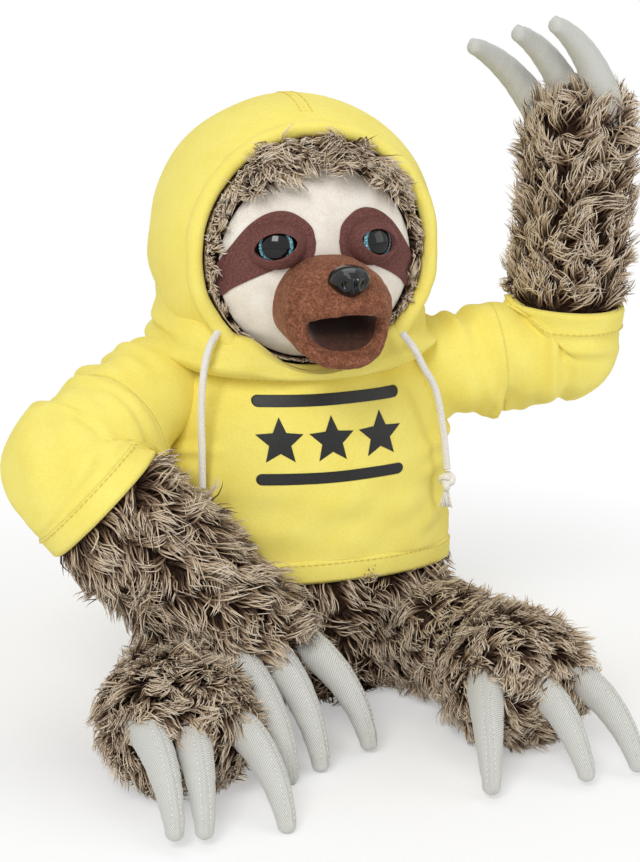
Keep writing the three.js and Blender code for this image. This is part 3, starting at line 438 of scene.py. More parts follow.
def strands(name, roots, normals, flow, length, rng, lift=(52, 8), stray=38, bound=None, thicker=1):
    """Tapered three-sided strands. One starts at an angle off the cloth and lies down along its
    length: its line adds up sin(angle) of the normal and cos(angle) of its way. Its way is the
    flow turned by its tuft's own angle, and its end leans to the middle strand of the tuft."""
    count = len(roots)
    heads = rng.choice(count, count // TUFT_SIZE, replace=False)
    a, b = roots.astype(np.float32), roots[heads].astype(np.float32)
    tuft = np.argmin((b**2).sum(1)[None] - 2 * a @ b.T, axis=1)
    turn = np.radians(rng.normal(0, stray, len(heads))[tuft] + rng.normal(0, 15, count))[:, None]
    way = np.cos(turn) * flow + np.sin(turn) * np.cross(normals, flow)
    side = np.cross(way, normals)
    t = np.linspace(0, 1, STRAND_LEVELS)[None, :, None]
    low, high = np.radians(lift[1]), np.radians(lift[0])
    first = (high + rng.normal(0, 0.16, len(heads))[tuft] + rng.normal(0, 0.12, count))[:, None, None]
    final = (low + rng.normal(0, 0.35, len(heads))[tuft] + rng.normal(0, 0.2, count))[:, None, None]
    angle = first + (final - first) * t
    size = np.broadcast_to(length, count) * rng.uniform(0.72, 1.15, count)
    step = size[:, None, None] / (STRAND_LEVELS - 1)
    move = step * (np.sin(angle) * normals[:, None] + np.cos(angle) * way[:, None])
    line = roots[:, None] + np.cumsum(move, 1) - move[:, :1]
    curl = rng.normal(0, 0.11, len(heads))[tuft] + rng.normal(0, 0.07, count)
    line = line + (curl * size)[:, None, None] * np.sin(np.pi * 1.3 * t) * t * side[:, None]
    beat = 2 * np.pi * (1.15 * t + rng.random((count, 1, 1)))
    wave = np.sin(beat) * side[:, None] + 0.7 * np.cos(beat) * normals[:, None]
    line = line + STRAND_CURL * size[:, None, None] * np.sqrt(t) * wave
    head_line, head_root = line[heads][tuft], roots[heads][tuft][:, None]
    lead = head_line - head_root + roots[:, None] * TUFT_ROOTS[0] + head_root * TUFT_ROOTS[1]
    line = line + (lead - line) * TUFT_PULL * t**1.2
    line[..., 2] = np.maximum(line[..., 2], LOWEST_STRAND)
    line = bound(line) if bound else line
    ahead = unit(np.gradient(line, axis=1))
    over = unit(np.cross(ahead, side[:, None]))
    beside = np.cross(over, ahead)
    width = 1 - STRAND_TAPER * t[..., 0] ** 2.2
    thick = thicker * STRAND_HALF_WIDTH * width * rng.uniform(0.75, 1.2, (count, 1))
    b = 2 * np.pi * np.arange(3) / 3
    flat = np.cos(b)[:, None] * over[:, :-1, None] * STRAND_FLATNESS
    spread = flat + np.sin(b)[:, None] * beside[:, :-1, None]
    rings = line[:, :-1, None] + thick[:, :-1, None, None] * spread
    places = np.concatenate([rings.reshape(count, -1, 3), line[:, -1:]], 1)
    quads = grid(STRAND_LEVELS - 1, 3)[0]
    tip = 3 * (STRAND_LEVELS - 1)
    point = [[tip - 3 + i, tip - 3 + (i + 1) % 3, tip] for i in range(3)]
    sides = np.concatenate([quads[:, [0, 1, 2]], quads[:, [0, 2, 3]], point])
    levels = np.r_[np.repeat(np.arange(STRAND_LEVELS - 1), 3), STRAND_LEVELS - 1] / (STRAND_LEVELS - 1)
    faces = (sides[None] + len(levels) * np.arange(count)[:, None, None]).reshape(-1, 3)
    uv = np.stack(np.broadcast_arrays(rng.random((count, 1, 1)), levels[sides][None]), -1)
    return piece(name, places, faces, fur_yarn, uv, weld=False)


# shaggy polyester yarn: dark brown at the root, beige at the tip, no two strands alike; the dark
# brown at the root is partly the yarn's own colour and partly painted shade deep in the pile
fur_yarn, tree, sockets = finish_of("shaggy_pile_yarn", Roughness=0.75, Specular_IOR_Level=0.2,
                                    Sheen_Weight=0.12, Sheen_Roughness=0.5, Sheen_Tint=linear(0xffe6c4))
place = node(tree, "SeparateXYZ", {0: node(tree, "TexCoord").outputs["UV"]}).outputs
along = node(tree, "ValToRGB", {0: place[1]}, stops=[
    (0, 0x24160f), (0.28, 0x452d20), (0.55, 0xab9175), (0.8, 0xe6d4ba), (1, 0xf6ead4)])
light = node(tree, "ValToRGB", {0: place[1]}, stops=[
    (0, 0x36241a), (0.3, 0x7d614a), (0.6, 0xdcc7ab), (1, 0xf9eddb)])
dark = node(tree, "ValToRGB", {0: place[1]}, stops=[(0, 0x1f130d), (0.5, 0x452e22), (1, 0x86705c)])
pick = node(tree, "MapRange", {"Value": place[0], "From Min": 0.45, "From Max": 0.8}).outputs[0]
common = {6: along.outputs[0], 7: light.outputs[0]}
mixed = node(tree, "Mix", {0: pick, **common}, data_type="RGBA").outputs[2]
few = node(tree, "Math", {0: place[0], 1: 0.16}, operation="LESS_THAN").outputs[0]
mixed = node(tree, "Mix", {0: few, 6: mixed, 7: dark.outputs[0]}, data_type="RGBA").outputs[2]
tree.links.new(mixed, sockets["Base Color"])

# the pile's backing and its short under-pile, dark brown: partly their own colour and partly painted
# shade, the shade deep in the pile between the tufts
backing_with_painted_shade, tree, sockets = finish_of("pile_backing_with_painted_shade", Roughness=1.0, Specular_IOR_Level=0.1)
tufted = noise(tree, 3, 4)
coloured(tree, sockets, tufted, [(0.3, 0x1f140e), (0.55, 0x38261c), (0.75, 0x523c2e)])
raised(tree, sockets, tufted, 1.0, 1.5)


def plush(node_name, body, surface):
    """The sewn skin of one limb, which stands for its CAD solid."""
    skin = tube(f"{node_name}_skin", surface, backing_with_painted_shade)
    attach(skin, body)
    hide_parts(node_name)


def fur(node_name, body, surface, count, length, seed, keep=None, flow=1, **way):
    """The strands on one skin, combed along its rows."""
    rng = np.random.default_rng(seed)
    roots, normals, rows = scatter(surface, count, rng, keep)
    rows = rows * flow + [0, 0, -0.25]
    rows = unit(rows - (rows * normals).sum(1, keepdims=True) * normals)
    made = strands(f"{node_name}_fur", roots, normals, rows, length, rng, **way)
    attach(made, body)


def beyond(start, way, distance):
    """Tells which places lie farther along a way from the start than this distance."""
    return lambda places: (places - start) @ way > distance


arm_places = {}
for side, arm in ARMS.items():
    shoulder = np.array(arm["shoulder"], float)
    elbow = shoulder + unit(np.array(arm["upper"])) * arm["upper_length"]
    paw = elbow + unit(np.array(arm["fore"])) * arm["length"]
    arm_places[side] = (shoulder, elbow, paw)
    long, swell = arm["length"], arm["swell"]
    deep = [(0, arm["elbow"] - 1), (0.4 * long, swell - PILE_DEPTH), (0.75 * long, 0.95 * swell - PILE_DEPTH),
            (long, arm["paw"] - PILE_DEPTH)]
    turn = axes(arm["fore"], arm["bend"])
    surface = limb(deep, elbow, turn)
    plush(f"forearm_{side}", f"forearm_{side}", surface)

    def inside_cuff(line):
        """The strands, drawn in towards the forearm's axis where they would pass through the cuff."""
        far = ((line - elbow) @ turn[2])[..., None]
        aside = line - elbow - far * turn[2]
        room = np.interp(far, [CUFF_LENGTH - 1, CUFF_LENGTH + 7], [arm["elbow"] * 0.93, 60])
        away = np.linalg.norm(aside, axis=-1, keepdims=True)
        return elbow + far * turn[2] + aside * np.minimum(1, room / np.maximum(away, 1e-6))

    fur(f"forearm_{side}", f"forearm_{side}", surface, ARM_STRANDS, arm["pile"], 11 + len(side),
        beyond(elbow, turn[2], CUFF_LENGTH - 3), bound=inside_cuff)
    upper = [(0, SHOULDER_RADIUS - 1), (arm["upper_length"] / 2, (SHOULDER_RADIUS + arm["elbow"]) / 2 - 1),
             (arm["upper_length"] - arm["elbow"] - 4, arm["elbow"] - 5)]
    upper_arm = limb(upper, shoulder, axes(arm["upper"], (0, 0, 1)), 12, 32)
    plush(f"upper_arm_{side}", f"upper_arm_{side}", upper_arm)

# the right hand lies on the right foot, which is pressed in there
resting = [(arm_places["right"][1], arm_places["right"][2], 29.5, 26)]
leg_places = {}
for side, leg in LEGS.items():
    hip = np.array(leg["hip"])
    thigh_way, foot_way = unit(np.array(leg["thigh"])), unit(np.array(leg["foot"]))
    ankle = hip + thigh_way * LEG_LENGTH
    leg_places[side] = (hip, ankle)
    dents = resting if side == "right" else []
    deep = [(0, HIP_RADIUS - 1.5), (LEG_LENGTH / 2, (HIP_RADIUS + ANKLE_RADIUS) / 2 - PILE_DEPTH),
            (LEG_LENGTH, ANKLE_RADIUS - PILE_DEPTH - 1)]
    thigh = pressed(limb(deep, hip, axes(leg["thigh"], (1, 0, 0))), dents)
    plush(f"leg_{side}", f"leg_{side}", thigh)
    fur(f"leg_{side}", f"leg_{side}", thigh, LEG_STRANDS, LEG_PILE, 31 + len(side),
        beyond(hip, thigh_way, 8))
    deep = [(0, ANKLE_RADIUS - 2), (FOOT_LENGTH, FOOT_RADIUS - PILE_DEPTH)]
    foot = pressed(limb(deep, ankle, axes(leg["foot"], leg["row"]), 14, wide=FOOT_WIDTH_SHARE), dents)
    plush(f"foot_{side}", f"foot_{side}", foot)
    fur(f"foot_{side}", f"foot_{side}", foot, LEG_STRANDS, LEG_PILE, 51 + len(side),
        beyond(ankle, foot_way, -6))


def torso_profile(grow):
    """Height and half-width up the torso: the outline's shares of its size, on a smooth curve."""
    flank = [(up * (NECK_HEIGHT + grow), out * TORSO_HALF_WIDTH + grow) for up, out in TORSO_SHARES]
    return smooth([(2, SEAT_RADIUS + grow)] + flank, 90)


def torso_surface(heights, grow, columns=96):
    """Ovals round the upright axis at these heights, as wide and deep as the torso grown so much."""
    profile = torso_profile(grow)
    heights = np.asarray(heights, float).reshape(len(heights), -1)
    r = np.interp(heights, profile[:, 0], profile[:, 1])
    a = np.linspace(0, 2 * np.pi, columns, endpoint=False)
    deep = (TORSO_HALF_DEPTH + grow) / (TORSO_HALF_WIDTH + grow)
    return np.stack([r * np.cos(a), r * np.sin(a) * deep, heights + 0 * a], -1)


def below_hem(places):
    """True under the sweatshirt's hem and above the seat, where the torso's pile shows."""
    y, z = places[..., 1], places[..., 2]
    return (z < 60 - 0.17 * y) & (z > 3)


legs_room = [(hip, ankle, HIP_RADIUS + 1, ANKLE_RADIUS + 1) for hip, ankle in leg_places.values()]
arms_room = [(shoulder, elbow, SHOULDER_RADIUS + 1, 27) for shoulder, elbow, paw in arm_places.values()]
head_room = [(HEAD_CENTRE, HEAD_CENTRE, 69, 69)]
body_skin = torso_surface(np.linspace(2.2, 176, 60), -1.5)
body_skin = pressed(body_skin, legs_room + arms_room + resting + head_room)
plush("torso", "torso", capped(body_skin))
fur("torso", "torso", body_skin, TORSO_STRANDS, TORSO_PILE, 71, below_hem, flow=-1)

# ---- Sweatshirt ----
# A cut and sewn child's-style sweatshirt of yellow brushed cotton fleece, about 3 mm thick.
# Its hem and cuffs are turned up and topstitched, and the sleeves are sewn in round armholes.

CLOTH_THICKNESS = 3.0
CLOTH_OUTSIDE = 3.3           # the cloth's outside above the torso's
SHIRT_COLUMNS = 160
SHIRT_TOP = 171
HEM_HEIGHT = 56.5
HEM_TILT = np.tan(np.radians(9.5))
HEM_BAND = 9
HEM_PROUD = 0.5
STITCH_PITCH = 3.2
STITCH_LENGTH = 2.3
SLEEVE_EASE = 3.5
CUFF_FOLD = 12
CUFF_ROLL = 2.0
CUFF_PROUD = 0.9
CUFF_ROWS = 12                # rows of points over the fold
SLEEVE_THICKNESS = 1.2
LINING_ROOM = 2.4             # from the sleeve's outside to the lining
ARMHOLE_SEAM_RADIUS = 0.95


def waves(places, lengths, seed):
    """Smooth unevenness from -1 to 1: the mean of sines along random directions, one for each of
    these wave lengths in millimetres."""
    rng = np.random.default_rng(seed)
    ways = unit(rng.normal(0, 1, (len(lengths), 3)))
    phases = rng.uniform(0, 2 * np.pi, len(lengths))
    return np.sin(places @ ways.T * 2 * np.pi / np.array(lengths) + phases).mean(-1)


def cloth(name, outside, inside, finish):
    """A thick cloth: its outside and its inside are grids with the same columns, and a rounded
    edge joins them at both ends."""
    half = np.linalg.norm(outside[0] - inside[0], axis=-1, keepdims=True) / 2
    low = (outside[0] + inside[0]) / 2 + half * unit(outside[0] - outside[1])
    high = (outside[-1] + inside[-1]) / 2 + half * unit(outside[-1] - outside[-2])
    rows = np.concatenate([low[None], outside, high[None], inside[::-1], low[None]])
    faces, uv = grid(len(rows), rows.shape[1])
    return piece(name, rows, faces, finish, uv)


def stitches(name, line, length, radius, pitch, finish):
    """A row of sewn stitches along a line: each is a short rod with rounded ends, made of four
    rings of five points that follow the line's direction."""
    step = np.linalg.norm(np.diff(line, axis=0), axis=1)
    far = np.r_[0, np.cumsum(step)]
    at = np.arange(pitch / 2, far[-1], pitch)
    centre = np.stack([np.interp(at, far, line[:, k]) for k in range(3)], 1)
    ahead = np.stack([np.interp(at + pitch / 4, far, line[:, k]) for k in range(3)], 1) - centre
    ahead = unit(ahead + 1e-9)
    side = unit(np.cross(ahead, [0.31, 0.52, 0.79]))
    over = np.cross(side, ahead)
    a = 2 * np.pi * np.arange(5) / 5
    ring = np.cos(a)[:, None] * side[:, None] + np.sin(a)[:, None] * over[:, None]
    spans = np.array([-0.5, -0.38, 0.38, 0.5]) * length
    reach = np.array([0.15, 1, 1, 0.15]) * radius
    middle = centre[:, None] + spans[None, :, None] * ahead[:, None]
    rings = middle[:, :, None] + reach[None, :, None, None] * ring[:, None]
    first, last = (np.repeat(middle[:, k, None, None], 5, 2) for k in (0, -1))
    rings = np.concatenate([first, rings, last], 1)
    quads = grid(6, 5)[0]
    faces = (quads[None] + 30 * np.arange(len(at))[:, None, None]).reshape(-1, 4)
    return piece(name, rings, faces, finish)


# brushed cotton fleece: matt yellow with a fine knit, a soft bloom and a broad cloudy change of tone
fleece, tree, sockets = finish_of("brushed_cotton_fleece", Roughness=0.95, Specular_IOR_Level=0.15,
                                  Sheen_Weight=0.3, Sheen_Roughness=0.6, Sheen_Tint=linear(0xfff6b0))
knit = noise(tree, 0.7, 3)
wear = noise(tree, 14, 3)
courses = noise(tree, 1.6, 2, (1, 1, 6))
grain = node(tree, "Mix", {0: 0.5, 2: knit, 3: courses}, data_type="FLOAT").outputs[0]
broad = node(tree, "ValToRGB", {0: wear}, stops=[(0.3, 0xf2df66), (0.7, 0xf8ea7c)]).outputs[0]
fine = node(tree, "ValToRGB", {0: grain}, stops=[(0.3, 0xe9d65a), (0.6, 0xfaee84)]).outputs[0]
body_tint = node(tree, "Mix", {0: 0.45, 6: broad, 7: fine}, data_type="RGBA").outputs[2]
tree.links.new(body_tint, sockets["Base Color"])
raised(tree, sockets, grain, 0.55, 0.25)

# sewing thread: the same yellow, a little deeper and smoother than the cloth
thread, tree, sockets = finish_of("yellow_sewing_thread", Roughness=0.7, Sheen_Weight=0.2)
coloured(tree, sockets, noise(tree, 0.4), [(0.3, 0xd9bf45), (0.7, 0xeedb66)])


def fold_lines(far, around, seed, count, reach, high=(1.2, 2.8)):
    """Folds of a slack sleeve: a number of ridges, each a bell-shaped rise across a slanting line
    that fades along the line as well; far is along the sleeve and around is the angle on it."""
    rng = np.random.default_rng(seed)
    total = 0 * far + 0 * around
    for at, turn, slope, width, span, rise in zip(
            rng.uniform(*reach, count), rng.uniform(0, 2 * np.pi, count), rng.uniform(-9, 9, count),
            rng.uniform(2.4, 4.4, count), rng.uniform(0.5, 1.1, count), rng.uniform(*high, count)):
        off = (around - turn + np.pi) % (2 * np.pi) - np.pi
        away = (far - at - slope * off) / width
        ridge = np.exp(-away**2) - 0.5 * np.exp(-((away - 1.6) ** 2)) - 0.5 * np.exp(-((away + 1.6) ** 2))
        total = total + rise * ridge * np.exp(-((off / span) ** 2))
    return total


def folded(surface):
    """The sweatshirt's surface with its soft folds: shallow waves all over, drag lines that fall
    from the armholes, and a slack roll above the hem."""
    out = unit(surface * [1, 1, 0])
    x, y, z = np.moveaxis(surface, -1, 0)
    slack = np.exp(-((z - 84 + 0.2 * y) / 17) ** 2)
    swell = 1.2 * waves(surface * [1, 1, 0.45], [64, 47, 38, 83], 3)
    arms = np.exp(-((z - 118) / 26) ** 2) * np.clip(np.abs(x) / 60, 0, 1) ** 3
    drag = 1.6 * arms * np.sin((z * 0.9 + np.abs(x) * 0.5 - y * 0.35) / 5.2 + 1.3 * np.sin(y / 17))
    roll = 1.5 * slack * waves(surface * [1, 1, 2.2], [41, 58, 33], 9)
    flank = np.clip((np.abs(x) - 42) / 22, 0, 1)
    folds = 0.8 * flank * fold_lines(z, np.arctan2(y, x), 37, 22, (66, 150))
    return surface + (swell + drag + roll + folds)[..., None] * out


hem_line = torso_surface([80], CLOTH_OUTSIDE, SHIRT_COLUMNS)[0]
hem_low = HEM_HEIGHT - HEM_TILT * hem_line[:, 1]
rise = np.linspace(0, 1, 70)[:, None]
heights = (hem_low + HEM_BAND) * (1 - rise) + SHIRT_TOP * rise
arm_room = [(a, b, r0 + 1.2, r1 + 1.2) for a, b, r0, r1 in resting]
shirt_room = arm_room + [(HEAD_CENTRE, HEAD_CENTRE, 68.2, 68.2)]
shirt_places = pressed(folded(torso_surface(heights, CLOTH_OUTSIDE, SHIRT_COLUMNS)), shirt_room)
inside = pressed(torso_surface(heights, CLOTH_OUTSIDE - CLOTH_THICKNESS, SHIRT_COLUMNS), shirt_room)
# the inside keeps within the outside, also where a fold dips
inside = np.minimum(np.abs(inside), np.abs(shirt_places) + 1e-3) * np.sign(inside)
shirt = cloth("sweatshirt_body", shirt_places, inside, fleece)
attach(shirt, "torso")
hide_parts("hoodie_body")

# the hem's turned-up strip lies on the body cloth: it is a little proud, with a rolled lower edge
rise = np.linspace(0, 1, 12)[:, None]
heights = hem_low + rise * HEM_BAND
proud = CLOTH_OUTSIDE + HEM_PROUD * np.sqrt(np.clip(np.sin(np.pi * (0.04 + 0.92 * rise)), 0, 1))
outside = torso_surface(heights, CLOTH_OUTSIDE, SHIRT_COLUMNS)
out = unit(outside * [1, 1, 0])
ripple = 0.35 * waves(outside * [1, 1, 0.2], [23, 31, 17], 5)[..., None]
outside = pressed(outside + (proud - CLOTH_OUTSIDE + 0.4)[..., None] * out + ripple * out, arm_room)
inside = pressed(torso_surface(heights, CLOTH_OUTSIDE - CLOTH_THICKNESS, SHIRT_COLUMNS), arm_room)
hem = cloth("sweatshirt_hem", outside, inside, fleece)
hem_line = np.concatenate([outside[-2], outside[-2][:1]])
hem_line = hem_line + unit(hem_line * [1, 1, 0]) * 0.12
hem_seam = stitches("hem_topstitch", hem_line, STITCH_LENGTH, 0.32, STITCH_PITCH, thread)
for made in (hem, hem_seam):
    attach(made, "torso")
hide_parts("hem_band")


def sleeve(start, elbow, fore, spans, radius, sides=72):
    """Rings along a bent sleeve. Before the elbow they stand square to the upper arm, then they
    fan about the elbow, and then they stand square to the forearm. On the inside of the bend
    both halves stop at the plane that halves the angle, where the cloth creases."""
    d1 = unit(elbow - start)
    d2 = unit(np.asarray(fore, float))
    axis = unit(np.cross(d1, d2))
    theta = np.arccos(d1 @ d2)
    middle = unit(d1 + d2)
    before, after = spans
    fan = np.linspace(0, theta, 14)[1:-1]
    angle = np.r_[0 * before, fan, theta + 0 * after][:, None]
    centre = np.concatenate([start + before[:, None] * d1, np.tile(elbow, (len(fan), 1)),
                             elbow + after[:, None] * d2])
    far = np.r_[before - np.linalg.norm(elbow - start), 0 * fan, after]
    o1, o2 = np.cross(d1, axis), np.cross(middle, axis)
    over = np.cos(angle) * o1 - np.sin(angle) * np.cross(o1, axis)
    a = np.linspace(0, 2 * np.pi, sides, endpoint=False)
    reach = radius(far)[:, None, None]
    aside = np.sin(a)[None, :, None] * axis
    out = np.cos(a)[None, :, None] * over[:, None] + aside
    rings = centre[:, None] + reach * out
    ahead = np.where(angle < theta / 2, 1, -1)[..., None]
    past = ((rings - elbow) @ middle)[..., None] * ahead
    way = np.where(ahead > 0, d1, d2)
    bent = rings - np.where(past > 0, past * ahead / (way @ middle)[..., None] * way, 0)
    flat = elbow + reach * (np.cos(a)[None, :, None] / np.cos(theta / 2) * o2 + aside)
    in_fan = (np.abs(far) < 1e-9)[:, None, None] & (np.cos(a) < 0)[None, :, None]
    return np.where(in_fan, flat, bent), out, far, a


def shirt_radius(angle, height):
    """How far the sweatshirt's surface is from the upright axis at an angle round it and a height:
    that of its grid's point nearest to them. Rows run evenly from the hem up to the neck."""
    deep = (TORSO_HALF_DEPTH + CLOTH_OUTSIDE) / (TORSO_HALF_WIDTH + CLOTH_OUTSIDE)
    turn = np.arctan2(np.sin(angle) / deep, np.cos(angle)) / (2 * np.pi)
    column = np.round(turn * shirt_places.shape[1]).astype(int) % shirt_places.shape[1]
    low, high = shirt_places[0, :, 2][column], shirt_places[-1, :, 2][column]
    row = np.clip((height - low) / (high - low), 0, 1) * (len(shirt_places) - 1)
    nearest = shirt_places[np.round(row).astype(int), column]
    return np.hypot(nearest[..., 0], nearest[..., 1])


def off_shirt(places):
    """How far a point stands out from the sweatshirt's surface, measured from the upright axis."""
    angle = np.arctan2(places[..., 1], places[..., 0])
    return np.hypot(places[..., 0], places[..., 1]) - shirt_radius(angle, places[..., 2])


for side, arm in ARMS.items():
    shoulder, elbow, paw = arm_places[side]
    upper_way, fore_way = unit(elbow - shoulder), unit(np.array(arm["fore"]))
    long, bent = arm["upper_length"], arm["elbow"] + SLEEVE_EASE
    split = 0.5 * long
    ball = SHOULDER_RADIUS + SLEEVE_EASE
    fold_start = CUFF_LENGTH - CUFF_FOLD
    closing = -ball * np.cos(np.linspace(0.12, np.pi / 2, 16)[:-1])
    before = np.r_[closing, np.linspace(0, split, 26), np.linspace(split, long - 1, 26)[1:]]
    after = np.r_[np.linspace(1, fold_start, 8), np.linspace(fold_start + 0.8, CUFF_LENGTH, CUFF_ROWS)]

    def width(far):
        """The sleeve closes as half a ball behind the shoulder. It widens evenly to the elbow and
        again to the cuff, whose fold stands proud and rolls."""
        upper = ball + (arm["elbow"] - SHOULDER_RADIUS) * np.clip(1 + far / long, -0.2, 1)
        cuff = CUFF_ROLL * np.clip(far / CUFF_LENGTH, 0, 1)
        fold = CUFF_PROUD * np.clip((far - fold_start) / 0.8, 0, 1)
        edge = np.clip((far - CUFF_LENGTH + 2.2) / 2.2, 0, 1)
        behind = np.clip(-(far + long) / ball, 0, 1)
        return (upper + cuff + fold - 1.6 * edge**2) * np.sqrt(1 - behind**2)

    # creases inside the elbow, a slack surface, a twist along the upper arm, and folds
    rings, out, far, a = sleeve(shoulder, elbow, arm["fore"], (before, after), width)
    s = far[:, None]
    bend = np.exp(-(s / 24) ** 2) * (0.5 - 0.5 * np.cos(a))
    crease = 2.3 * bend * np.sin(s / 3.1 + 0.9 * np.sin(2 * a + 0.4))
    slack = 1.9 * waves(rings, [27, 34, 46, 21], 13 + len(side))
    slack = slack * np.clip(1 - (s - fold_start + 3) / 3, 0.25, 1)
    twist = 1.6 * np.sin(s / 6.5 + a * 2 + 1.5 * np.sin(a)) * np.exp(-((s + 0.55 * long) / 24) ** 2)
    folds = fold_lines(s, a[None], 23 + len(side), 26, (-long, fold_start - 4))
    folds = folds * np.clip((fold_start - s) / 4, 0, 1)
    rings = rings + (crease + slack + twist + folds)[..., None] * out
    # each column starts a little under the body cloth, and the armhole's seam runs where it comes out
    count = np.arange(len(a))
    clear = off_shirt(rings) > 0
    leave = np.maximum(np.argmax(clear, 0), 1)
    gap = off_shirt(rings[leave, count]), off_shirt(rings[leave - 1, count])
    share = np.clip(-gap[1] / (gap[0] - gap[1]), 0, 1)[:, None]
    hole = rings[leave, count] * share + rings[leave - 1, count] * (1 - share)
    first = np.maximum(leave - 2, 0)
    rows = np.arange(len(rings))[:, None]
    rings = np.where((rows < first)[..., None], rings[first, count], rings)

    # three pieces: the upper half, the lower half with its end tucked in, and the turned-up cuff
    join = int(np.searchsorted(before, split))
    lower_half, end = rings[join:1 - CUFF_ROWS], rings[-1]
    tuck = lower_half[-1]
    tucked = [tuck.mean(0) + (tuck - tuck.mean(0)) * k for k in (0.93, 0.86, 0.6)]
    turn_in = [end.mean(0) + (end - end.mean(0)) * k - fore_way * back
               for k, back in ((0.96, -0.2), (0.92, 0.6), (0.9, 2.5), (0.885, 8))]
    parts = {"upper": rings[:join + 1], "lower": np.concatenate([lower_half, tucked]),
             "cuff": np.concatenate([rings[-CUFF_ROWS:], turn_in])}
    halves = {}
    for label, part in parts.items():
        halves[label] = tube(f"sleeve_{side}_{label}", part, fleece)
        thick = halves[label].modifiers.new("cloth", "SOLIDIFY")
        thick.thickness = SLEEVE_THICKNESS * MM
        thick.offset = -1
    from_seam = min(((hole - shoulder) @ upper_way).max(), split - 16)
    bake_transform(halves["upper"])
    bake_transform(halves["lower"])
    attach(halves["cuff"], f"forearm_{side}")
    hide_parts(f"sleeve_{side}")
    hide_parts(f"cuff_{side}")

    # under the cloth a lining closes the elbow, as a ball about the joint with a tube up to the cuff
    t = np.radians(np.linspace(2, 90, 20))
    reach, off = (bent - LINING_ROOM) * np.stack([np.r_[np.sin(t), 1], np.r_[-np.cos(t), 0]])[..., None]
    reach[-1] += CUFF_ROLL
    off[-1] = CUFF_LENGTH - 3
    b = np.linspace(0, 2 * np.pi, 64, endpoint=False)
    local = np.stack([reach * np.cos(b), reach * np.sin(b), off + 0 * b], -1)
    elbow_lining = capped(local @ axes(arm["fore"], arm["bend"]) + elbow)
    stations = [(0, SHOULDER_RADIUS + 0.3), (split, (SHOULDER_RADIUS + arm["elbow"]) / 2 + 0.3)]
    upper_lining = limb(stations, shoulder, axes(arm["upper"], (0, 0, 1)), 8, 48)
    for label, lining, body in (("upper_lining", upper_lining, "upper_arm"),
                                ("lining", elbow_lining, "forearm")):
        made = tube(f"sleeve_{side}_{label}", lining, fleece)
        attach(made, f"{body}_{side}")

    around = np.concatenate([hole[-4:], hole, hole[:4]])
    even = np.hanning(9)[:, None] / np.hanning(9).sum()
    hole = sum(around[k:k + len(hole)] * even[k] for k in range(9))
    hole_line = smooth(np.concatenate([hole, hole[:1]])[::3], 160)
    seam = tube(f"armhole_seam_{side}", hoops(hole_line, ARMHOLE_SEAM_RADIUS, 8, (0.2, 1, 0.1)), fleece)
    cuff_line = rings[1 - CUFF_ROWS]
    cuff_line = np.concatenate([cuff_line, cuff_line[:1]])
    cuff_line = cuff_line + 0.35 * unit(cuff_line - cuff_line.mean(0))
    sewn = stitches(f"cuff_topstitch_{side}", cuff_line, STITCH_LENGTH, 0.3, STITCH_PITCH, thread)
    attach(seam, "torso")
    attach(sewn, f"forearm_{side}")

# ---- Hood and its base ----
# The hood is a deep bag of the same fleece, hemmed round the face into a casing for the
# drawstrings. Its base is sewn to the neckline and stands in a soft fold on the shoulders.

HOOD_OUTER = 67.8
HOOD_INNER = 63.5
HOOD_COLUMNS = 144
OUTSIDE_ROWS = 60
INSIDE_ROWS = 30
CROWN_SEAM_RADIUS = 0.75
CROWN_STITCHES = 2.6          # from the crown's seam to each row beside it
BASE_RADIUS = 69.5
BASE_BOTTOM = 158
BASE_HEIGHT = 52
BASE_EDGE = 195
BASE_TILT = np.tan(np.radians(17))
NECKLINE_BOTTOM = 163.5
NECKLINE_RADIUS = 46

# from the crown at the back, over the outside, round the casing, and back inside
over = np.radians(np.linspace(0, 120.1, OUTSIDE_ROWS))
casing = np.array([(58.2, -34.9), (58.6, -35.6), (59.4, -37), (59.7, -39.2), (59, -41.6), (57.4, -43.2),
                   (55.4, -43.9), (53.4, -43), (52.3, -41), (52.2, -38.2), (52.8, -35.6), (54.5, -33.8)])
under = np.radians(np.linspace(117, 0, INSIDE_ROWS))
profile = np.concatenate([
    np.stack([HOOD_OUTER * np.sin(over), HOOD_OUTER * np.cos(over)], 1), casing,
    np.stack([HOOD_INNER * np.sin(under), HOOD_INNER * np.cos(under)], 1)])
a = np.linspace(0, 2 * np.pi, HOOD_COLUMNS, endpoint=False)
r, y = profile[:, :1], profile[:, 1:]
hood_places = HEAD_CENTRE + np.stack([r * np.sin(a), y + 0 * a, r * np.cos(a)], -1)
out = unit(hood_places - HEAD_CENTRE)
on_outside = np.r_[np.ones(OUTSIDE_ROWS), np.linspace(1, 0.3, len(casing)), np.zeros(INSIDE_ROWS)][:, None]
to_sides = np.abs(np.sin(a)) * np.clip(-np.cos(a) + 0.6, 0, 1)
gather = np.clip((np.arange(len(profile)) - OUTSIDE_ROWS + 10) / 11, 0, 1)[:, None]
drag = 0.9 * to_sides * np.sin(hood_places[..., 2] / 5.5 + hood_places[..., 1] / 11)
soft = 1.0 * waves(hood_places, [52, 71, 38, 44], 21) + drag
puckers = 0.4 * gather * waves(hood_places, [7.5, 11, 9, 14], 22)
hood_places = hood_places + (on_outside * (soft + puckers))[..., None] * out
hood = tube("hood_cloth", hood_places, fleece)

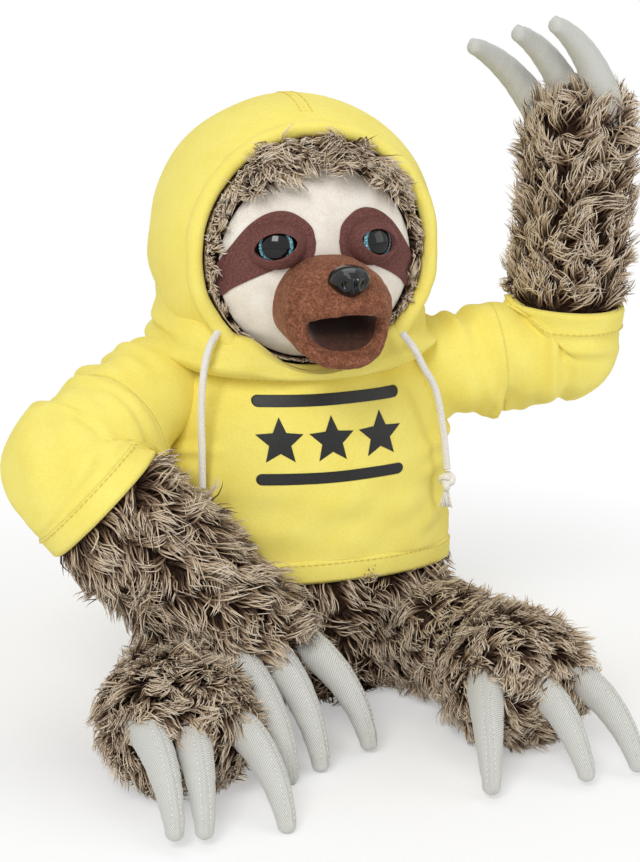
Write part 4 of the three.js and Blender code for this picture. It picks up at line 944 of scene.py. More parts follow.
# its two halves are joined over the crown, from the casing down to the neckline, and topstitched
crown = np.concatenate([hood_places[56:0:-1, 0], hood_places[:24, HOOD_COLUMNS // 2]])
crown_out = unit(crown - HEAD_CENTRE)
ridge = hoops(crown - 0.25 * crown_out, CROWN_SEAM_RADIUS, 8, (1, 0, 0.001))
crown_ridge = tube("hood_crown_seam", capped(ridge), fleece)
crown_rows = []
for name, aside in (("a", -CROWN_STITCHES), ("b", CROWN_STITCHES)):
    row = crown + 0.2 * crown_out + [aside, 0, -abs(aside) / 60]
    crown_rows.append(stitches(f"hood_crown_topstitch_{name}", row, STITCH_LENGTH, 0.3, STITCH_PITCH, thread))
casing_line = np.concatenate([hood_places[OUTSIDE_ROWS], hood_places[OUTSIDE_ROWS][:1]])
casing_line = casing_line[casing_line[:, 2] > 178]
casing_line = casing_line + 0.25 * unit(casing_line - HEAD_CENTRE)
casing_seam = stitches("hood_casing_topstitch", casing_line, STITCH_LENGTH, 0.32, STITCH_PITCH, thread)
for made in [crown_ridge, *crown_rows, hood, casing_seam]:
    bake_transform(made)
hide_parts("hood", "hood_rim")

# the base: its upper edge is low in front, where the strings come out, and high behind
a = np.linspace(-np.pi, np.pi, 180, endpoint=False)
front = np.exp(-((a / 0.62) ** 2))
reach = BASE_RADIUS * (1 - 0.17 * front)
plane = BASE_EDGE - BASE_TILT * reach * np.cos(a) * 0.97
across = np.clip(np.abs(reach * np.sin(a)), 0, NECKLINE_RADIUS - 0.5)
notch = NECKLINE_BOTTOM + NECKLINE_RADIUS - np.sqrt(NECKLINE_RADIUS**2 - across**2)
in_notch = (np.abs(a) < np.pi / 2) & (np.abs(reach * np.sin(a)) < NECKLINE_RADIUS - 1)
top = np.where(in_notch, np.minimum(plane, notch), plane)
top = np.convolve(np.r_[top[-4:], top, top[:4]], np.hanning(9) / np.hanning(9).sum(), "valid")
rise = np.linspace(0, 1, 40)[:, None]
heights = BASE_BOTTOM + 0.6 + (top - BASE_BOTTOM - 0.6) * rise
share = (heights - BASE_BOTTOM) / BASE_HEIGHT
r = reach * np.interp(share, [0, 0.06, 0.2, 0.45, 0.75, 1], [0.85, 0.9, 0.965, 1, 0.985, 0.955])
# behind, its upper part leans in against the hood, and all round its lower edge is sewn to the body
on_ball = np.sqrt(np.clip(HOOD_OUTER**2 - (heights - HEAD_CENTRE[2]) ** 2, 0, None))
lean_in = np.clip((rise - 0.35) / 0.65, 0, 1) ** 1.4 * (1 - front)
r = r + (on_ball - 1.6 - r) * lean_in
on_shirt = shirt_radius(np.arctan2(-np.cos(a), np.sin(a)) + 0 * r, heights)
off_seam = np.hypot(r * np.sin(a) + HEAD_CENTRE[0], r * np.cos(a)) - on_shirt
sewn_down = np.clip(1 - rise / 0.3, 0, 1)
r = r - (off_seam + 1.5) * (1 - np.sqrt(1 - sewn_down**2))
r = r - 2.2 * front * np.clip((rise - 0.9) / 0.1, 0, 1) ** 2
base_places = np.stack([HEAD_CENTRE[0] + r * np.sin(a), -r * np.cos(a), heights], -1)
out = unit((base_places - HEAD_CENTRE) * [1, 1, 0])
z = base_places[..., 2]
bunch = 1.2 * waves(base_places * [0.7, 0.7, 1.6], [33, 26, 45, 21], 31) * np.clip(4 * rise, 0, 1)
lean = 0.9 * np.sin(z / 4.6 + a * 1.7) * np.clip(np.abs(a) - 0.7, 0, 1) * np.sin(np.pi * rise)
folds = fold_lines(z, a[None], 43, 14, (164, 186)) * np.sin(np.pi * rise) * np.clip(np.abs(a) - 0.5, 0, 1)
lean = lean + folds
base_outside = pressed(base_places + (bunch + lean)[..., None] * out, [(HEAD_CENTRE, HEAD_CENTRE, 66, 66)])
base_inside = pressed(base_places - 3.2 * out, [(HEAD_CENTRE, HEAD_CENTRE, 65.2, 65.2)])
base = cloth("hood_base", base_outside, base_inside, fleece)
base_line = np.concatenate([base_outside[3], base_outside[3][:1]])
base_line = base_line + 0.3 * unit((base_line - HEAD_CENTRE) * [1, 1, 0])
base_seam = stitches("hood_base_topstitch", base_line, STITCH_LENGTH, 0.32, STITCH_PITCH, thread)
for made in (base, base_seam):
    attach(made, "torso")
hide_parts("collar")

# ---- Head and face ----
# The head is a stuffed ball of the long pile. The face is short cream pile let into it, with two
# mauve-brown patches, and a thick fringe of pile hangs over its edge all round.

SIGNS = {"left": 1, "right": -1}
FACE_OUTER = 61
FACE_THICKNESS = 2.4
FACE_COLUMNS = 160
FACE_BUMPS = [((0.42, -0.85, -0.42), 15, 1.3), ((-0.42, -0.85, -0.42), 15, 1.3), ((0, -1, 0.16), 9, 0.9),
              ((0, -0.85, 0.55), 20, 0.5)]   # way, half width and height of the cheeks and the brow
BACK_ROWS = 60
FRINGE_STRANDS = 6000
FRINGE_PILE = 10.5
BROW_PILE = 11                # longer by this over the brow
EYE_SPREAD = 22
EYE_RISE = 6.5
PATCH_SHARES = np.array([  # outline of the patch round the toy's right eye, over half its width
    (0.48, 0.03), (0.42, 0.24), (0.18, 0.41), (-0.08, 0.41), (-0.34, 0.27), (-0.62, 0.0), (-0.91, -0.27),
    (-1.07, -0.46), (-0.92, -0.72), (-0.64, -0.56), (-0.32, -0.4), (0, -0.28), (0.26, -0.26), (0.44, -0.14)])
PATCH_REACH = 37
PATCH_COLUMNS = 112
EYE_RADIUS = 9
EYE_DOME = 6
EYE_BASE = 61.6               # the dome's rim from the head's middle
STEM_RADIUS = 2.5
LID_HALF_WIDTH = 12.8
LID_HALF_HEIGHT = 10.6
LID_TILT = np.radians(11)
PUPIL_RISE = 1.3              # the glitter ring sits above the lids' middle
face_way = np.array([0, -np.cos(FACE_TILT), -np.sin(FACE_TILT)])
face_axes = axes(face_way, (1, 0, 0))


def cap_places(radii, angles, columns=FACE_COLUMNS):
    """Rings about the face's axis: a ring at an angle off it lies at radius sin(angle) from the
    axis and radius cos(angle) in front of the head's middle."""
    b = np.linspace(0, 2 * np.pi, columns, endpoint=False)
    radii, angles = np.asarray(radii, float)[:, None], np.asarray(angles, float)[:, None]
    aside = radii * np.sin(angles)
    local = np.stack([aside * np.cos(b), aside * np.sin(b), radii * np.cos(angles) + 0 * b], -1)
    return local @ face_axes + HEAD_CENTRE


# the ball from behind up to the face, and the socket that the face lies in
back_angles = np.radians(np.linspace(180, FACE_HALF_ANGLE + 1.2, BACK_ROWS))
rim_angles = np.radians([FACE_HALF_ANGLE + 0.6, FACE_HALF_ANGLE + 0.2, FACE_HALF_ANGLE, 30, 12, 0])
ball_radii = np.r_[np.full(BACK_ROWS, HEAD_RADIUS - 2.0), 58.6, 56.8, 55.5, 55.5, 55.5, 55.5]
plush("head", "head", cap_places(ball_radii, np.r_[back_angles, rim_angles]))

# strands round the face: those over the brow are longer, and some lie inwards over its edge
fringe_angles = np.radians(np.linspace(61, 45.5, 14))
fringe_skin = cap_places(np.full(14, HEAD_RADIUS - 1.6), fringe_angles)
rng = np.random.default_rng(81)
roots, normals, rows = scatter(fringe_skin, FRINGE_STRANDS, rng)
over_brow = np.clip((roots[:, 2] - HEAD_CENTRE[2] - 20) / 20, 0, 1)
outward = (rng.random(len(roots)) < 0.45 * (1 - over_brow)) & (roots[:, 1] < -38)
rows = np.where(outward[:, None], -rows, rows)
off_axis = np.degrees(np.arccos(unit(roots - HEAD_CENTRE) @ face_way))
kept = off_axis > 49.2 - 3.7 * over_brow
roots, rows, over_brow = roots[kept], rows[kept], over_brow[kept]
normals = unit(roots - HEAD_CENTRE)
rows = unit(rows - (rows * normals).sum(1, keepdims=True) * normals)
rows = unit(rows + [0, 0, -0.45] * np.clip(roots[:, 2:] - HEAD_CENTRE[2], 0, 30) / 30)
rows = unit(rows - (rows * normals).sum(1, keepdims=True) * normals)


def under_hood(line):
    """The strands, drawn in towards the face's axis where they would pass through the hood's wall."""
    local = line - HEAD_CENTRE
    far = np.hypot(local[..., 0], local[..., 2])
    room = np.interp(local[..., 1], [-62, -46, -44, -34, -25, 0], [90, 60, 50.6, 50.6, 56, 61])
    draw = np.minimum(1, room / np.maximum(far, 1e-6))[..., None]
    return HEAD_CENTRE + np.where([True, False, True], local * draw, local)


fringe = strands("head_fur", roots, normals, rows, FRINGE_PILE + BROW_PILE * over_brow, rng, lift=(58, 14),
                 stray=50, bound=under_hood, thicker=1.2)
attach(fringe, "head")

# short velboa pile: cream, matt, with a soft directional nap
velboa, tree, sockets = finish_of("cream_velboa_pile", Roughness=0.9, Sheen_Weight=0.45, Sheen_Roughness=0.4,
                                  Sheen_Tint=linear(0xfffaf2), Specular_IOR_Level=0.2)
nap = noise(tree, 0.8, 3)
both = node(tree, "Mix", {0: 0.5, 2: nap, 3: noise(tree, 9)}, data_type="FLOAT").outputs[0]
coloured(tree, sockets, both, [(0.3, 0xe0d8ca), (0.5, 0xefe8dc), (0.7, 0xf8f3ea)])
raised(tree, sockets, nap, 0.45, 0.3)

eye_depth = np.sqrt(FACE_OUTER**2 - EYE_SPREAD**2 - EYE_RISE**2)
eye_ways = {side: unit(np.array([sign * EYE_SPREAD, -eye_depth, EYE_RISE])) for side, sign in SIGNS.items()}


def face_relief(places):
    """How far the face stands off its ball: cheeks swell, the eyes lie in shallow hollows, and
    the brow between them is a low ridge; each is a bell-shaped bump about its middle."""
    way = unit(places - HEAD_CENTRE)
    bumps = [(about, 11, -1.0) for about in eye_ways.values()]
    bumps += [(unit(np.array(about)), size, high) for about, size, high in FACE_BUMPS]
    far = [FACE_OUTER * np.arccos(np.clip(way @ about, -1, 1)) for about, size, high in bumps]
    return sum(high * np.exp(-((off / size) ** 2)) for off, (about, size, high) in zip(far, bumps))


# over the front, round the rolled edge and back behind the cloth
edge_angles = np.array([0.1, 0.1, 0.6])
angles = np.radians(np.r_[np.linspace(0, FACE_HALF_ANGLE - 0.6, 56), FACE_HALF_ANGLE - edge_angles,
                          np.linspace(FACE_HALF_ANGLE - 4, 0, 12)])
radii = np.r_[np.full(56, FACE_OUTER), FACE_OUTER - 0.7, FACE_OUTER - 1.7,
              np.full(13, FACE_OUTER - FACE_THICKNESS)]
face_places = cap_places(radii, angles)
in_front = (radii > FACE_OUTER - 0.9)[:, None]
lifted = (face_relief(face_places) * in_front)[..., None] * unit(face_places - HEAD_CENTRE)
face = tube("face_pile", face_places + lifted, velboa)
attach(face, "head")
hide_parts("face_panel")

# the same short pile in a dusky mauve-brown
dusky, tree, sockets = finish_of("mauve_brown_velboa_pile", Roughness=0.95, Specular_IOR_Level=0.15,
                                 Sheen_Weight=0.3, Sheen_Roughness=0.4, Sheen_Tint=linear(0xb98f8a))
nap = noise(tree, 0.7, 3)
coloured(tree, sockets, nap, [(0.3, 0x5a3834), (0.5, 0x6f4843), (0.7, 0x835852)])
raised(tree, sockets, nap, 0.5, 0.3)

# moulded acrylic safety eye: black dome with a ring of teal glitter under a clear gloss
glitter, tree, sockets = finish_of("glossy_glitter_eye", Roughness=0.06, Specular_IOR_Level=0.4, IOR=1.49)
across = node(tree, "SeparateXYZ", {0: node(tree, "TexCoord").outputs["UV"]}).outputs[1]
coords = node(tree, "TexCoord").outputs["Object"]
flakes = node(tree, "TexVoronoi", {"Vector": coords, "Scale": 1 / (0.32 * MM)}).outputs["Color"]
spark = node(tree, "SeparateColor", {0: flakes}).outputs[0]
sparkle = node(tree, "ValToRGB", {0: spark}, stops=[
    (0, 0x0c3440), (0.4, 0x2a86a0), (0.68, 0x86d8ea), (1, 0xe2fbff)]).outputs[0]
ring = node(tree, "ValToRGB", {0: across}, stops=[
    (0, 0x000000), (0.33, 0x000000), (0.37, 0xffffff), (0.46, 0xffffff), (0.52, 0x000000)]).outputs[0]
iris = node(tree, "Mix", {0: ring, 6: linear(0x050506), 7: sparkle}, data_type="RGBA").outputs[2]
tree.links.new(iris, sockets["Base Color"])

for side, sign in SIGNS.items():
    eye_axes = axes(eye_ways[side], (1, 0, 0))

    def on_face(u, v, high):
        """Points u sideways and v up from the eye's middle, at a height over the face's ball."""
        turned = unit(np.stack([u, v, np.full_like(u, FACE_OUTER)], -1) @ eye_axes)
        return HEAD_CENTRE + turned * (FACE_OUTER + high + face_relief(HEAD_CENTRE + turned))[..., None]

    # the patch: rings from its middle out, over its edge and under it
    outline = smooth(np.vstack([PATCH_SHARES, PATCH_SHARES[:1]]), PATCH_COLUMNS + 1)[:-1] * PATCH_REACH
    outline = outline * [-sign, 1]
    k = np.r_[np.linspace(0.15, 0.975, 22), 0.992, 1.0, 0.99][:, None]
    high = np.r_[np.full(22, 0.75), 0.6, 0.25, -0.35][:, None]
    u, v = outline[:, 0] * k, outline[:, 1] * k
    over = on_face(u, v, high + 0 * u)
    under = on_face(u[::-1] * 0.96, v[::-1] * 0.96, -0.3 + 0 * u)
    patch = tube(f"eye_patch_{side}_pile", np.concatenate([over, under, over[:1]]), dusky)

    # the dome, half an egg over a short skirt, whose texture runs from its middle to its rim
    t = np.radians(np.linspace(0, 90, 26))[:, None]
    b = np.linspace(0, 2 * np.pi, 64, endpoint=False)
    u = EYE_RADIUS * np.cos(t) * np.cos(b)
    v = EYE_RADIUS * np.cos(t) * np.sin(b) + PUPIL_RISE * (1 - np.cos(t))
    high = EYE_BASE + EYE_DOME * np.sqrt(np.clip(1 - (u**2 + v**2) / EYE_RADIUS**2, 0, 1))
    skirt = np.stack([EYE_RADIUS * np.cos(b), EYE_RADIUS * np.sin(b), EYE_BASE - 1.5 + 0 * b], -1)[None]
    local = np.concatenate([skirt * [0, 0, 1], skirt, np.stack([u, v, high], -1)])
    faces, uv = grid(len(local), 64)
    uv[:, 1] = np.clip((uv[:, 1] * 27 - 2) / 25, 0, 1)
    eye = piece(f"eye_{side}_dome", local @ eye_axes + HEAD_CENTRE, faces, glitter, uv)
    stations = [(EYE_BASE - 8.5, STEM_RADIUS), (EYE_BASE - 1, STEM_RADIUS)]
    stem = tube(f"eye_{side}_stem", limb(stations, HEAD_CENTRE, eye_axes, 4, 16), glitter)

    # lids: a padded almond rim of the same pile, which covers the top and bottom of the dome
    tilt = -sign * LID_TILT
    x, y = 9.7 * np.cos(b), 5.7 * np.sin(b) * (1 - 0.2 * np.cos(b) ** 2)
    x, y = x * np.cos(tilt) - y * np.sin(tilt), x * np.sin(tilt) + y * np.cos(tilt)
    k = np.array([0, 0, 0.03, 0.1, 0.22, 0.36, 0.52, 0.7, 0.86, 1])[:, None]
    puff = np.array([0, 0.1, 0.5, 0.75, 0.6, 0.3, 0.1, 0, -0.4, -1.3])[:, None]
    x, y = x + (LID_HALF_WIDTH * np.cos(b) - x) * k, y + (LID_HALF_HEIGHT * np.sin(b) - y) * k
    on_eye = EYE_DOME * np.sqrt(np.clip(1 - (x**2 + y**2) / EYE_RADIUS**2, 0, 1))
    on_lid = np.sqrt(np.clip(1 - (x / LID_HALF_WIDTH) ** 2 - (y / LID_HALF_HEIGHT) ** 2, 0, 1)) ** 0.85
    on_lid = (EYE_DOME + 0.25) * on_lid
    high = EYE_BASE - FACE_OUTER + np.where(k > 0, np.maximum(on_lid, on_eye * (k < 0.9)), on_eye) + puff
    high[0] = EYE_BASE - FACE_OUTER + on_eye[0] - 0.9
    lids = tube(f"eyelids_{side}", np.stack([x, y, FACE_OUTER + high], -1) @ eye_axes + HEAD_CENTRE, dusky)
    for made in (patch, eye, stem, lids):
        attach(made, "head")
    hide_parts(f"eye_patch_{side}")
    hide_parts(f"eye_{side}")

# ---- Nose, muzzle and mouth ----
# The muzzle and lower lip are padded brown short pile, joined at the corners of the mouth, with
# a darker lining sewn inside. The nose is one glossy moulding on a stem, pressed through.

MOUTH_COLUMNS = 128
MUZZLE_ROWS = 64
LINING_ROWS = 40
LINING_THICKNESS = 0.9
THROAT = np.array([HEAD_CENTRE[0], -65.5, 194.2])
MUZZLE_MIDDLE = (-70, -14)    # from the head's middle, along y and z
MUZZLE_OVAL = (29, 18)
NOSE_SIZE = np.array([9.25, 7.25, 10])
NOSE_SEAT = np.radians(35)    # how high the nose sits on the muzzle's oval
NOSE_TILT = np.radians(10)
NOSTRIL_SPREAD = 4.1

# minky pile: brown, with short fibres that lie in strokes and catch the light
minky, tree, sockets = finish_of("brown_minky_pile", Roughness=0.88, Sheen_Weight=0.4, Sheen_Roughness=0.35,
                                 Sheen_Tint=linear(0xc79a80), Specular_IOR_Level=0.2)
strokes = noise(tree, 0.9, 3, (1, 0.35, 1))
both = node(tree, "Mix", {0: 0.35, 2: strokes, 3: noise(tree, 3.5)}, data_type="FLOAT").outputs[0]
coloured(tree, sockets, both, [(0.32, 0x5b3625), (0.5, 0x7f4f3a), (0.66, 0x9f6b51)])
raised(tree, sockets, both, 0.8, 0.7)

# brushed tricot lining: dark red-brown and matt
tricot, tree, sockets = finish_of("dark_tricot_lining", Roughness=0.85, Sheen_Weight=0.2,
                                  Specular_IOR_Level=0.2)
cloudy = noise(tree, 2.5, 3)
coloured(tree, sockets, cloudy, [(0.3, 0x361c12), (0.7, 0x523020)])
raised(tree, sockets, cloudy, 0.4, 0.3)

# moulded ABS, polished: near black with a hard clear shine
gloss, tree, sockets = finish_of("polished_black_abs", Roughness=0.1, IOR=1.5, Specular_IOR_Level=0.42)
flow = noise(tree, 4, 1)
coloured(tree, sockets, flow, [(0.3, 0x08080a), (0.7, 0x121316)])
rough = node(tree, "MapRange", {"Value": flow, "To Min": 0.06, "To Max": 0.14}).outputs[0]
tree.links.new(rough, sockets["Roughness"])

# half of each ring round the mouth, from its top to its bottom: out to the side, forward and up,
# from the ring on the face over the muzzle and the lip's crest to the ring inside the lip
MUZZLE_RINGS = np.array([
    [(0, 55, 219.6), (9.5, 55, 218.3), (17, 52, 213), (21.6, 50, 205.5), (23.3, 50, 196.5), (22.1, 48, 189),
     (17.8, 46, 182.7), (9.9, 44, 179), (0, 44, 178)],
    [(0, 80, 219.3), (10, 80, 217.8), (18, 79, 212.3), (23, 77.5, 204.3), (24.2, 76, 195.3),
     (22.7, 74.5, 187.3), (18, 73.5, 181), (9.5, 72.5, 176.8), (0, 72.5, 175.4)],
    [(0, 91, 215.3), (9, 90.4, 213.6), (16.5, 88.3, 208.6), (21.5, 85, 202.3), (22.4, 82, 194.7),
     (21, 82, 186.3), (16.6, 83.5, 179), (9, 85, 174.9), (0, 86, 173.5)],
    [(0, 98.6, 206.5), (8.5, 97.2, 205.5), (15.5, 93.3, 202.5), (19.8, 88.8, 199), (20.6, 85.3, 193.9),
     (19.6, 87, 186.2), (15.5, 90.3, 179.6), (8.5, 93.3, 176), (0, 94.3, 175)],
    [(0, 98.3, 200.6), (7.5, 97.3, 200.1), (13.8, 93.8, 198.6), (17.3, 89.6, 196.4), (18.2, 86.6, 192.8),
     (17, 88.8, 187), (13.3, 92, 181.9), (7.2, 94.6, 179.5), (0, 95.5, 178.9)],
    [(0, 93.5, 198.4), (6.8, 92.8, 198.1), (12.2, 89.6, 197.1), (14.9, 86, 195.3), (15.4, 83.5, 192.6),
     (14.4, 84.5, 188.3), (11.2, 87, 184.4), (6, 89.2, 182.4), (0, 90, 181.9)],
])
LINING_RINGS = np.array([
    [(0, 84, 199.4), (6, 83.5, 199.1), (10.8, 81.5, 198), (13.3, 79, 196), (13.9, 77.5, 193.2),
     (13, 78, 190.2), (10.2, 79.5, 187.8), (5.5, 81, 186.8), (0, 81.5, 186.7)],
    [(0, 73, 198.3), (5.5, 72.8, 198.1), (9.8, 72, 197.3), (12.1, 71, 195.8), (12.6, 70.5, 194),
     (11.8, 70.6, 192.3), (9.3, 71, 191.2), (5, 71.5, 190.8), (0, 71.7, 190.7)],
    [(0, 65.5, 194.6), (4.5, 65.5, 194.6), (8, 65.3, 194.5), (9.8, 65.2, 194.4), (10.2, 65, 194.2),
     (9.8, 65.1, 194), (8, 65.3, 193.9), (4.5, 65.5, 193.8), (0, 65.5, 193.8)],
])


def round_mouth(rings, rows):
    """A skin through rings of points: each half ring is mirrored and closed, a smooth curve is laid
    round it, and smooth curves join the rings from first to last."""
    whole = np.concatenate([rings, (rings * [-1, 1, 1])[:, -2:0:-1]], 1) * [1, -1, 1]
    looped = np.concatenate([whole[:, -1:], whole, whole[:, :2]], 1)
    wrapped = np.stack([smooth(one, 18 * 16 + 1)[16:-16] for one in looped])
    picked = np.round(np.linspace(0, wrapped.shape[1] - 1, MOUTH_COLUMNS, endpoint=False)).astype(int)
    skin = np.stack([smooth(wrapped[:, k], rows) for k in picked], 1)
    return skin + [HEAD_CENTRE[0], 0, 0]


# the muzzle starts under the face, has two pads with a cleft between them, and is a little uneven
muzzle_skin = round_mouth(MUZZLE_RINGS, MUZZLE_ROWS)
muzzle_skin[0] = HEAD_CENTRE + unit(muzzle_skin[0] - HEAD_CENTRE) * (FACE_OUTER - 1.2)
beside = np.roll(muzzle_skin, -1, 1) - np.roll(muzzle_skin, 1, 1)
across = unit(np.cross(np.gradient(muzzle_skin, axis=0), beside))
out = across * np.sign((across * (muzzle_skin - [HEAD_CENTRE[0], -60, 195])).sum(-1).mean())
row = np.arange(MUZZLE_ROWS)[:, None]
fade = np.clip(row / 8, 0, 1) * np.clip((MUZZLE_ROWS - row) / 8, 0, 1)
x, y, z = np.moveaxis(muzzle_skin - HEAD_CENTRE, -1, 0)
pads = 1.2 * np.exp(-(((np.abs(x) - 11) / 8) ** 2 + ((y + 92) / 12) ** 2 + ((z + 14) / 8) ** 2))
cleft = -0.8 * np.exp(-((x / 1.6) ** 2) - ((z + 13) / 6) ** 2) * (y < -90)
uneven = 0.45 * waves(muzzle_skin, [5, 7, 4, 9, 13], 41)
muzzle_skin = muzzle_skin + ((pads + cleft + uneven) * fade)[..., None] * out
muzzle_skin[4:] = pressed(muzzle_skin[4:], [(HEAD_CENTRE, HEAD_CENTRE, FACE_OUTER + 0.4, FACE_OUTER + 0.4)])
lining_skin = round_mouth(np.concatenate([MUZZLE_RINGS[-1:], LINING_RINGS]), LINING_ROWS)
lining_out = unit((lining_skin - [HEAD_CENTRE[0], -80, 192.5]) * [1, 0, 1])
throat = np.tile(THROAT, (1, MOUTH_COLUMNS, 1))
root = np.tile(HEAD_CENTRE + [0, -56, -18], (1, MOUTH_COLUMNS, 1))
under_lining = lining_skin[1:] + 1.5 * lining_out[1:]
muzzle = tube("muzzle_pile", np.concatenate([root, muzzle_skin, under_lining, throat + [0, 1.5, 0]]), minky)
behind = np.concatenate([lining_skin + LINING_THICKNESS * lining_out, throat + [0, LINING_THICKNESS, 0]])
lining = tube("mouth_lining", np.concatenate([throat, lining_skin[::-1], behind]), tricot)
for made in (muzzle, lining):
    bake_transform(made)
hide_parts("muzzle", "jaw")
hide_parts("palate", "jaw_lining")

# nose: an egg that narrows downwards, with two nostrils and a cleft pressed into its front
seat = HEAD_CENTRE + [0, MUZZLE_MIDDLE[0] - MUZZLE_OVAL[0] * np.cos(NOSE_SEAT),
                      MUZZLE_MIDDLE[1] + MUZZLE_OVAL[1] * np.sin(NOSE_SEAT)]
nose_axes = axes((0, -np.cos(NOSE_TILT), np.sin(NOSE_TILT)), (1, 0, 0))
t, p = np.meshgrid(np.linspace(0, np.pi, 90), np.linspace(0, 2 * np.pi, 128, endpoint=False), indexing="ij")
way = np.stack([np.sin(t) * np.cos(p), np.sin(t) * np.sin(p), np.cos(t)], -1)
box = unit(np.sign(way) * np.abs(way) ** 0.86)
local = box * NOSE_SIZE
local[..., 0] *= 1 - 0.32 * np.clip(-box[..., 1], 0, 1) + 0.06 * np.clip(box[..., 1], 0, 1)
x, y = local[..., 0], local[..., 1]
holes = sum(np.exp(-(((x - s * NOSTRIL_SPREAD - 0.22 * s * (y + 1.5)) / 1.35) ** 2 + ((y + 1.4) / 1.9) ** 2))
            for s in (1, -1))
rims = sum(np.exp(-((np.hypot(x - s * 4.3, (y + 1.2) * 0.85) - 3.0) / 0.8) ** 2) for s in (1, -1))
cleft = np.exp(-((x / 0.6) ** 2)) * np.clip((1.5 - y) / 3, 0, 1)
local[..., 2] += np.clip(way[..., 2], 0, 1) * (-2.6 * holes + 0.6 * rims - 0.9 * cleft)
nose = tube("nose_moulding", local @ nose_axes + seat, gloss)
stem = tube("nose_stem", limb([(-10.5, STEM_RADIUS), (-1, STEM_RADIUS)], seat, nose_axes, 4, 16), gloss)
for made in (nose, stem):
    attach(made, "head")
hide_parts("nose")

# ---- Claws ----
# Three to each hand and foot: curved, tapering tubes of grey ribbed cloth, stuffed hard, with one
# seam along the outer curve, stitched in white a little to each side of it.

CLAW_LENGTH = 60
CLAW_RADIUS = 8.3
CLAW_TIP = 4
CLAW_TAPER = 1.6
CLAW_BEND = np.radians(66)
CLAW_TURN = CLAW_LENGTH / CLAW_BEND
CLAW_SEAM = 0.7               # the seam's ridge above the cloth
CLAW_STITCHES = 1.9           # from the seam to each row beside it
CLAW_SIDES = 48
CLAW_PITCH = 20
CLAW_FAN = np.radians(20)
CLAW_RIB = 0.8                # from one rib of the cloth to the next
RIBS_ROUND = 26               # ribs that a turn round the claw crosses
FRINGE_STRANDS_EACH = 150     # round one claw's root
FRINGE_LENGTH = 13
CLAW_ROWS = {
    "left_hand": {"seat": 5, "along": (-0.17, 0.15, 0.97), "row": (0.55, -0.75, 0.36), "pitch": 0.85,
                  "fans": (-0.7, -0.2, 0)},
    "right_hand": {"seat": 12, "along": (0.42, -0.84, -0.24), "row": (0.88, 0.44, 0.04), "pitch": 0.9,
                   "fans": (-0.2, -0.2, 0.5)},
    "left_foot": {"seat": 8, "along": (0.08, -1, 0), "row": (1, 0.08, 0), "pitch": 1,
                  "fans": (-1.1, 0.35, 0.7)},
    "right_foot": {"seat": 8, "along": (0.05, -1, 0), "row": (1, 0.05, -0.1), "pitch": 1,
                   "fans": (0.25, -0.2, 0.75)},
}
FOOT_RAISE = 3                # the claws of a foot sit above its axis and point a little up
FOOT_CLAW_TURN = np.radians(-6)


def turned_about(way, axis, angle):
    """A direction turned about an axis: way cos(angle), plus axis cross way times sin(angle),
    plus the axis times its share of the way and 1 - cos(angle)."""
    axis = unit(np.asarray(axis, float))
    turned = way * np.cos(angle) + np.cross(axis, way) * np.sin(angle)
    return turned + axis * (axis @ way) * (1 - np.cos(angle))


# ribbed grosgrain cloth: fine ribs run slanting round each claw, grey with paler rib tops
ribbed, tree, sockets = finish_of("grey_ribbed_claw_cloth", Roughness=0.8, Specular_IOR_Level=0.3,
                                  Sheen_Weight=0.25, Sheen_Roughness=0.4)
place = node(tree, "SeparateXYZ", {0: node(tree, "TexCoord").outputs["UV"]}).outputs
slant = node(tree, "Math", {0: place[0], 1: RIBS_ROUND}, operation="MULTIPLY").outputs[0]
ribs = CLAW_LENGTH / CLAW_RIB * 2 * np.pi
far = node(tree, "Math", {0: place[1], 1: ribs}, operation="MULTIPLY").outputs[0]
twill = node(tree, "Math", {0: slant, 1: 2 * np.pi}, operation="MULTIPLY").outputs[0]
phase = node(tree, "Math", {0: far, 1: twill}, operation="ADD").outputs[0]
rib = node(tree, "Math", {0: phase}, operation="SINE").outputs[0]
rib = node(tree, "MapRange", {"Value": rib, "From Min": -1.0, "From Max": 1.0}).outputs[0]
both = node(tree, "Mix", {0: 0.4, 2: rib, 3: noise(tree, 0.5)}, data_type="FLOAT").outputs[0]
coloured(tree, sockets, both, [(0.2, 0xb3b4ae), (0.5, 0xcacac4), (0.85, 0xdfdfd9)])
raised(tree, sockets, both, 0.45, 0.22)

# white polyester thread in short even stitches
white_thread, tree, sockets = finish_of("white_sewing_thread", Roughness=0.6, Sheen_Weight=0.2)
coloured(tree, sockets, noise(tree, 0.3), [(0.3, 0xd4d4d0), (0.7, 0xf2f2ee)])


def claw_places(angle, radius, around):
    """Points of a claw in its own frame: its middle line is an arc in the plane of y and z, and
    each ring stands square to it, radius out, starting on the outer side of the bend."""
    centre = np.stack([0 * angle, -CLAW_TURN * (1 - np.cos(angle)), CLAW_TURN * np.sin(angle)], -1)
    outward = np.stack([0 * angle, np.cos(angle), np.sin(angle)], -1)
    aside = np.sin(around)[..., None] * [1, 0, 0]
    return centre + radius[..., None] * (np.cos(around)[..., None] * outward + aside)


def claw_taper(share):
    """A claw's radius at a share of its length."""
    return CLAW_RADIUS + (CLAW_TIP - CLAW_RADIUS) * share**CLAW_TAPER


